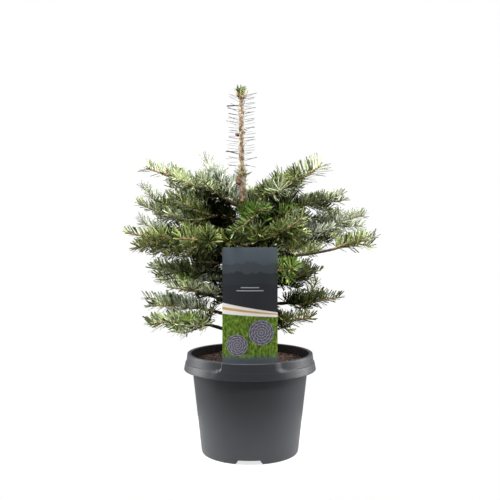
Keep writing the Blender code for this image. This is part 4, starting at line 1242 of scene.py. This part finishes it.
def pot_surface():
    """Points and faces of the pot: a turned shell whose collar, slot and foot change round it."""
    flat = [(radius, 143.8) for radius in (87.1, 87.3, 87.6, 87.9)]
    groove = ((87.7, 143.8), (87.75, 127.5), (89.65, 127.5), (89.7, 143.8))
    raised_collar = (93.4, 143.7, (94.5, 130.2), (94.3, 131.6))
    plain = pot_profile(90.2, 143.8, (92.9, 131.4), (91.5, 132.4), flat)
    raised = pot_profile(*raised_collar, flat)
    slotted = pot_profile(*raised_collar, groove)

    fine = np.arange(18.4, 36.0, 0.3)
    slot_edges = SLOT_HALF_ANGLE + np.array((-0.1, 0.1))
    notch_turns = (NOTCHES[:, None] + np.degrees(NOTCH_EDGES / FOOT_RADIUS)).ravel() % 360
    turns = [np.arange(0, 360, 2.0), FRONT + fine, FRONT - fine, FRONT + slot_edges, FRONT - slot_edges]
    turns = np.unique(np.round(np.concatenate([*turns, notch_turns]), 3))
    apart = angle_apart(turns, FRONT)[:, None]
    height = plain[None, :, 1]
    corner = np.clip((138.0 - height) / 5.0, 0, 1)
    below = np.clip((133.5 - height) / 3.0, 0, 1)
    edge = LABEL_HALF_ANGLE + 3.4 * (1 - np.sqrt(1 - corner**2)) + 3.0 * below
    soft = 1.3 + 8.0 * (apart > 0) + 7.0 * below
    pocket = smoothstep((edge - np.abs(apart)) / soft + 0.5)[..., None]
    profile = plain * (1 - pocket) + raised * pocket
    profile = np.where(np.abs(apart[..., None]) < SLOT_HALF_ANGLE, slotted, profile)
    from_notch = np.radians(np.abs(angle_apart(turns[:, None], NOTCHES)).min(axis=1)) * FOOT_RADIUS
    cut = np.clip((20 - from_notch) / 4.8, 0, 1)[:, None] * NOTCH_DEPTH
    radii, heights = profile[..., 0], profile[..., 1]
    heights = np.where(radii > 59.0, np.maximum(heights, cut), heights)
    points, quads, caps = turned(radii[:, 1:-1], heights[:, 1:-1], turns, plain[[0, -1], 1])
    # Rows of the inner wall and the inner floor take the second, near-black material: painted shade
    shaded_wall = np.arange(len(plain) - 3) < int(np.argmax(plain[:, 1] > 143.0)) - 1
    inside = np.concatenate([np.tile(shaded_wall, len(turns)), np.repeat((True, False), len(turns))])
    return points, [quads, caps], inside.astype(int)


def pot_material():
    """Matt moulded plastic, anthracite, with a fine texture and faint flow marks."""
    made = new_material("pot_plastic", (0.045, 0.047, 0.052), 0.46, Specular_IOR_Level=0.33)
    nodes = Nodes(made)
    place = nodes.place()
    cloud = nodes.noise(place, 9.0, 4.0)
    grain = nodes.noise(place, 900.0, 2.0)
    nodes.colour(nodes.ramp(cloud, (0.3, (0.035, 0.037, 0.042)), (0.7, (0.044, 0.046, 0.052))))
    nodes.rough(nodes.math("MULTIPLY_ADD", cloud, 0.16, 0.38))
    nodes.bump(grain, 0.05 * MM)
    return made


def make_pot():
    """The pot, with painted shade on its inner side, and drain holes cut through its floor."""
    points, faces, slots = pot_surface()
    # Near-black tones for the inner side: painted shade where the rim and the crown keep the light out
    tones = (0.003, 0.0025, 0.002), (0.013, 0.010, 0.008)
    soiled = mottled("pot_soiled", *tones, 0.9, 300.0, 0.3 * MM, Specular_IOR_Level=0.1)
    pot = add_mesh("pot_shell", points, faces, [pot_material(), soiled], slots, smooth=True)
    cutters = []
    for index in range(DRAIN_COUNT):
        spot = heading(NOTCHES[0] + (index + 0.5) * 360 / DRAIN_COUNT, 0) * DRAIN_PLACE
        bore = np.array([spot - 10 * MM * UP, spot + 20 * MM * UP])
        points, triangles = tube(bore, [DRAIN_RADIUS] * 2, 24, upright=True)
        cutters.append(add_mesh(f"drain_{index}", points, [triangles], []))
        hole = pot.modifiers.new(f"drain_{index}", "BOOLEAN")
        hole.operation = "DIFFERENCE"
        hole.object = cutters[-1]
        hole.solver = "EXACT"
    graph = bpy.context.evaluated_depsgraph_get()
    mesh = bpy.data.meshes.new_from_object(pot.evaluated_get(graph))
    pot.modifiers.clear()
    pot.data = mesh
    for cutter in cutters:
        bpy.data.objects.remove(cutter, do_unlink=True)
    mesh.set_sharp_from_angle(angle=math.radians(50))
    finish_piece(pot, "pot_plastic", "pot")


# Soil

SOIL_COLUMNS = 240
SOIL_FLOOR = 9.2
SOIL_FLOOR_RADIUS = 66.8
LUMP_COUNT = 2100
LUMPS_TO = 80.0
TRUNK_CLEARANCE = 11.0
CHIP = 2  # the kind of lump that is often long and flat
GRIT = 3  # the kind that is always small


def soil_height(radius, turn):
    """Height of the soil's rough surface in mm."""
    base = np.interp(radius, (0, 20, 50, 77, 81), (137.4, 137.2, 135.4, 133.0, 132.4))
    angle = turn / 360
    lumps = value_noise(angle * 40, radius / 5.0, 40, 11) * 0.8
    grains = value_noise(angle * 160, radius / 1.7, 160, 12) * 0.45
    return base - 0.6 + (lumps + grains) * np.clip((82 - radius) / 3, 0, 1) * np.clip(radius / 14, 0.2, 1)


def icosahedron():
    """Corners of unit size, and faces that point out."""
    golden = (1 + 5**0.5) / 2
    corners = [np.roll((a, b, 0), shift) for shift in range(3) for b in (golden, -golden) for a in (-1, 1)]
    faces = []
    for face in combinations(range(12), 3):
        first, second, third = (corners[corner] for corner in face)
        if all(np.linalg.norm(a - b) < 2.1 for a, b in combinations((first, second, third), 2)):
            outward = np.cross(second - first, third - first) @ first > 0
            faces.append(face if outward else face[::-1])
    return unit(np.array(corners)), np.array(faces)


def make_soil(rng):
    """A rough, granular fill with lumps and long chips on it."""
    turns = np.arange(SOIL_COLUMNS) * 360 / SOIL_COLUMNS
    turn, radius = np.meshgrid(turns, [*np.arange(1.5, 80.6, 1.15), 81.2], indexing="ij")
    height = soil_height(radius, turn)
    wobbly = radius + value_noise(turn / 360 * 200, radius / 1.3, 200, 13) * 0.35
    radii = np.pad(wobbly, ((0, 0), (0, 1)), constant_values=SOIL_FLOOR_RADIUS)
    heights = np.pad(height, ((0, 0), (0, 1)), constant_values=SOIL_FLOOR)
    points, *faces = turned(radii, heights, turns, (136.9, SOIL_FLOOR))
    dark = mottled("soil_dark", (0.006, 0.004, 0.003), (0.075, 0.044, 0.031), 0.95, 420.0, 0.6 * MM)
    finish_piece(add_mesh("soil_bed", points, faces, [dark], smooth=True), "potting_soil", "soil")

    materials = [
        dark,
        mottled("soil_brown", (0.085, 0.044, 0.028), (0.300, 0.165, 0.105), 0.9, 700.0, 0.3 * MM),
        mottled("soil_red", (0.20, 0.085, 0.050), (0.42, 0.20, 0.125), 0.85, 700.0, 0.3 * MM),
        mottled("soil_tan", (0.20, 0.12, 0.065), (0.33, 0.22, 0.13), 0.85, 700.0, 0.3 * MM),
    ]
    corners, triangles = icosahedron()
    lumps = Gather()
    for _ in range(LUMP_COUNT):
        spot = LUMPS_TO * math.sqrt(rng.random())
        if spot < TRUNK_CLEARANCE:
            continue
        turn = rng.uniform(0, 360)
        kind = rng.choice(4, p=(0.42, 0.34, 0.20, 0.04))
        size = rng.uniform(0.4, 0.8) if kind == GRIT else rng.uniform(0.45, 1.35)
        scale = size * rng.uniform(0.55, 1.2, 3)
        if kind == CHIP and rng.random() < 0.5:
            scale = size * np.array((2.0, 0.55, 0.4))
        spin = np.linalg.qr(rng.normal(size=(3, 3)))[0]
        if np.linalg.det(spin) < 0:
            spin[:, 0] *= -1
        height = soil_height(np.array(spot), np.array(turn))
        centre = heading(turn, 0) * spot + UP * (height + size * 0.15)
        shape = corners * (1 + rng.uniform(-0.16, 0.16, (12, 1))) * scale
        lumps.add((shape @ spin.T + centre) * MM, triangles, kind)
    finish_piece(lumps.build("soil_lumps", materials), "potting_soil")


# Label

LABEL_RIDGES = (  # height, scale and depth of the ridge's line, and its colour
    (0.86, 3.1, 0.16, (0.062, 0.074, 0.086)),
    (0.78, 5.3, 0.13, (0.036, 0.041, 0.047)),
    (0.68, 2.3, 0.10, (0.028, 0.031, 0.036)),
)
LABEL_BANDS = (  # slope and height of the band's upper edge, and its colour
    (-0.085, 0.52, (0.88, 0.85, 0.78)),
    (-0.060, 0.485, (0.62, 0.36, 0.14)),
    (-0.048, 0.462, (0.88, 0.86, 0.80)),
)
LABEL_ROSETTES = ((0.70, 0.265, 0.235, 11.0), (0.27, 0.155, 0.20, 9.0))  # place, radius, petals
LABEL_ASPECT = 2.06
LABEL_BARS = ((0.655, 0.16), (0.628, 0.24))  # height and half the width
LABEL_CORNER = 1.3  # degrees
LABEL_CORNER_DROP = 2.0 * MM


def label_front():
    """A plain landscape design: hills at dusk, a slanting band, and rosettes on mottled green."""
    made = new_material("label_front", (0.04, 0.045, 0.05), 0.32, Coat_Weight=0.25, Coat_Roughness=0.2)
    nodes = Nodes(made)
    calc = nodes.math
    uv = nodes.add("ShaderNodeUVMap", uv_map="map").outputs["UV"]
    parts = nodes.add("ShaderNodeSeparateXYZ", {"Vector": uv})
    u, v = parts.outputs["X"], parts.outputs["Y"]
    flat = nodes.add("ShaderNodeCombineXYZ", {"X": u, "Y": 0.0, "Z": 0.0}).outputs["Vector"]

    def below(line, soft):
        """One under a line across the label, and nothing over it."""
        return calc("MULTIPLY_ADD", calc("SUBTRACT", line, v), 1 / soft, 0.5, clamp=True)

    colour = nodes.ramp(v, (0.72, (0.058, 0.069, 0.082)), (1.0, (0.110, 0.134, 0.160)))
    for level, scale, depth, tint in LABEL_RIDGES:
        line = calc("MULTIPLY_ADD", nodes.noise(flat, scale, 2.0), depth, level - depth / 2)
        colour = nodes.mix(below(line, 0.006), colour, tint)
    greens = (0.36, (0.035, 0.07, 0.008)), (0.52, (0.11, 0.20, 0.02)), (0.66, (0.27, 0.38, 0.05))
    green = nodes.ramp(nodes.noise(uv, 26.0, 4.0), *greens)
    for slope, level, tint in (*LABEL_BANDS, (-0.030, 0.425, green)):
        colour = nodes.mix(below(calc("MULTIPLY_ADD", u, slope, level), 0.004), colour, tint)

    for middle, centre, size, petals in LABEL_ROSETTES:
        x = calc("MULTIPLY", calc("SUBTRACT", u, middle), 1 / size)
        y = calc("MULTIPLY", calc("SUBTRACT", v, centre), LABEL_ASPECT / size)
        radius = calc("SQRT", calc("ADD", calc("MULTIPLY", x, x), calc("MULTIPLY", y, y)))
        swirl = calc("MULTIPLY_ADD", calc("ARCTAN2", y, x), petals / 2, calc("MULTIPLY", radius, 9.0))
        wave = calc("ABSOLUTE", calc("SINE", swirl))
        tone = nodes.ramp(
            calc("FRACT", calc("MULTIPLY_ADD", wave, 0.35, calc("MULTIPLY", radius, 5.0))),
            (0.0, (0.045, 0.042, 0.060)),
            (0.55, (0.150, 0.140, 0.190)),
            (0.82, (0.24, 0.23, 0.28)),
            (0.90, (0.60, 0.60, 0.62)),
            (1.0, (0.10, 0.09, 0.12)),
        )
        within = calc("SUBTRACT", calc("MULTIPLY_ADD", wave, 0.07, 0.93), radius)
        colour = nodes.mix(calc("MULTIPLY_ADD", within, 40.0, 0.5, clamp=True), colour, tone)

    for level, half in LABEL_BARS:
        across = calc("LESS_THAN", calc("ABSOLUTE", calc("SUBTRACT", u, 0.5)), half)
        height = calc("LESS_THAN", calc("ABSOLUTE", calc("SUBTRACT", v, level)), 0.004)
        colour = nodes.mix(calc("MULTIPLY", across, height), colour, (0.40, 0.42, 0.44))
    haze = calc("MULTIPLY_ADD", v, -1 / 0.05, 1.6, clamp=True)
    nodes.colour(nodes.mix(haze, colour, (0.085, 0.105, 0.118)))
    return made


def make_label():
    """A thin printed card bent to the collar's curve, with a narrower tongue below."""
    tongue = LABEL_TONGUE_HALF_ANGLE / LABEL_HALF_ANGLE
    rows = [*np.linspace(LABEL_TONGUE_FOOT, LABEL_FOOT, 4), *np.linspace(LABEL_FOOT, LABEL_TOP, 41)[1:]]
    columns = np.unique([*np.linspace(-1, 1, 49), -tongue, tongue])
    points, uv, index = [], [], {}
    for layer, side in enumerate((1, -1)):
        radius = LABEL_RADIUS + side * LABEL_THICKNESS / 2
        for (j, height), (i, share) in product(enumerate(rows), enumerate(columns)):
            if height < LABEL_FOOT - 1e-6 and abs(share) > tongue + 1e-6:
                continue
            if height == LABEL_TOP:
                corner = max(0.0, 1 - (1 - abs(share)) * LABEL_HALF_ANGLE / LABEL_CORNER)
                height -= LABEL_CORNER_DROP * (1 - math.sqrt(1 - corner**2))
            turn = math.radians(FRONT + share * LABEL_HALF_ANGLE)
            index[layer, j, i] = len(points)
            points.append((radius * math.cos(turn), radius * math.sin(turn), height))
            uv.append(((share + 1) / 2, (height - LABEL_FOOT) / (LABEL_TOP - LABEL_FOOT)))
    faces, slots, edges = [], [], {}
    for j, i in product(range(len(rows) - 1), range(len(columns) - 1)):
        cells = [(j, i), (j, i + 1), (j + 1, i + 1), (j + 1, i)]
        if any((0, *cell) not in index for cell in cells):
            continue
        faces += [[index[(0, *cell)] for cell in cells], [index[(1, *cell)] for cell in reversed(cells)]]
        slots += [0, 1]
        for a, b in zip(cells, cells[1:] + cells[:1]):
            if not edges.pop((b, a), False):
                edges[a, b] = True
    faces += [[index[(0, *b)], index[(0, *a)], index[(1, *a)], index[(1, *b)]] for a, b in edges]
    slots += [2] * len(edges)
    back = mottled("label_back", (0.055, 0.064, 0.072), (0.064, 0.074, 0.083), 0.4, 30.0, 0.01 * MM)
    rim = mottled("label_edge", (0.5, 0.52, 0.53), (0.58, 0.6, 0.61), 0.6, 300.0, 0.02 * MM)
    label = add_mesh("label_card", points, [faces], [label_front(), back, rim], slots, True, uv)
    label.data.set_sharp_from_angle(angle=math.radians(40))
    finish_piece(label, "label_card", "label")


# Stage, light and camera

FLOOR_RADIUS = 0.22
LIGHTS = (  # name, place, target, size, power
    ("left_box", (-1.3, 0.25, 0.6), (0, 0, 0.15), (0.7, 1.2), 31),
    ("right_box", (1.3, 0.25, 0.6), (0, 0, 0.15), (0.7, 1.2), 33),
    ("top_box", (-0.35, -0.45, 1.6), (0, 0, 0.2), (0.5, 0.5), 30),
    ("front_box", (0.5, -1.4, 1.6), (0, 0, 0.1), (0.4, 0.4), 16),
)
CAMERA_PLACE = (0.0, -1.1668, 0.345)
CAMERA_PITCH = 0.0457  # radians below level
CAMERA_LENS = 58.56
CAMERA_SENSOR = 36.0


def add_light(name, place, target, size, power):
    lamp = bpy.data.lights.new(name, "AREA")
    lamp.shape = "RECTANGLE"
    lamp.size, lamp.size_y = size
    lamp.energy = power
    made = bpy.data.objects.new(name, lamp)
    made.location = place
    made.rotation_euler = (Vector(target) - Vector(place)).to_track_quat("-Z", "Y").to_euler()
    bpy.context.scene.collection.objects.link(made)


def light_world():
    """Plain white where it is seen, and a soft light that is stronger from the rear."""
    world = bpy.data.worlds.new("studio")
    bpy.context.scene.world = world
    world.use_nodes = True
    nodes = Nodes(world)
    background = world.node_tree.nodes["Background"].inputs
    background["Color"].default_value = (1.0, 1.0, 1.0, 1.0)
    direction = nodes.add("ShaderNodeTexCoord").outputs["Generated"]
    depth = nodes.add("ShaderNodeSeparateXYZ", {"Vector": direction}).outputs["Y"]
    limits = {"Value": depth, "From Min": -0.6, "From Max": 1.0, "To Min": 0.06, "To Max": 0.46}
    light = nodes.add("ShaderNodeMapRange", limits, interpolation_type="SMOOTHSTEP").outputs["Result"]
    seen = nodes.add("ShaderNodeLightPath").outputs["Is Camera Ray"]
    strength = nodes.add("ShaderNodeMix", {"Factor": seen, "A": light, "B": 1.0})
    nodes.feed(background["Strength"], strength.outputs["Result"])


def make_stage():
    """A pale floor, soft light and the camera at the photograph's angle."""
    scene = bpy.context.scene
    scene.view_settings.view_transform = "Standard"
    rim = [heading(turn, 0) * FLOOR_RADIUS for turn in range(0, 360, 5)]
    white = new_material("floor_white", (0.35,) * 3, 0.9, Emission_Color=(1, 1, 1, 1), Emission_Strength=0.74)
    add_mesh("floor", rim, [[tuple(range(len(rim)))]], [white])
    light_world()
    for light in LIGHTS:
        add_light(*light)
    camera = bpy.data.cameras.new("camera")
    camera.lens = CAMERA_LENS
    camera.sensor_width = CAMERA_SENSOR
    made = bpy.data.objects.new("camera", camera)
    made.location = CAMERA_PLACE
    made.rotation_euler = (math.radians(90) - CAMERA_PITCH, 0.0, 0.0)
    scene.collection.objects.link(made)
    scene.camera = made


def main():
    make_stage()
    shoots = crown_shoots(np.random.default_rng(SEED))
    make_needles(shoots, np.random.default_rng(SEED + 1))
    make_limbs(shoots)
    make_trunk()
    make_leader(np.random.default_rng(SEED + 2))
    make_buds(shoots, np.random.default_rng(SEED + 3))
    make_pot()
    make_soil(np.random.default_rng(SEED + 4))
    make_label()


main()
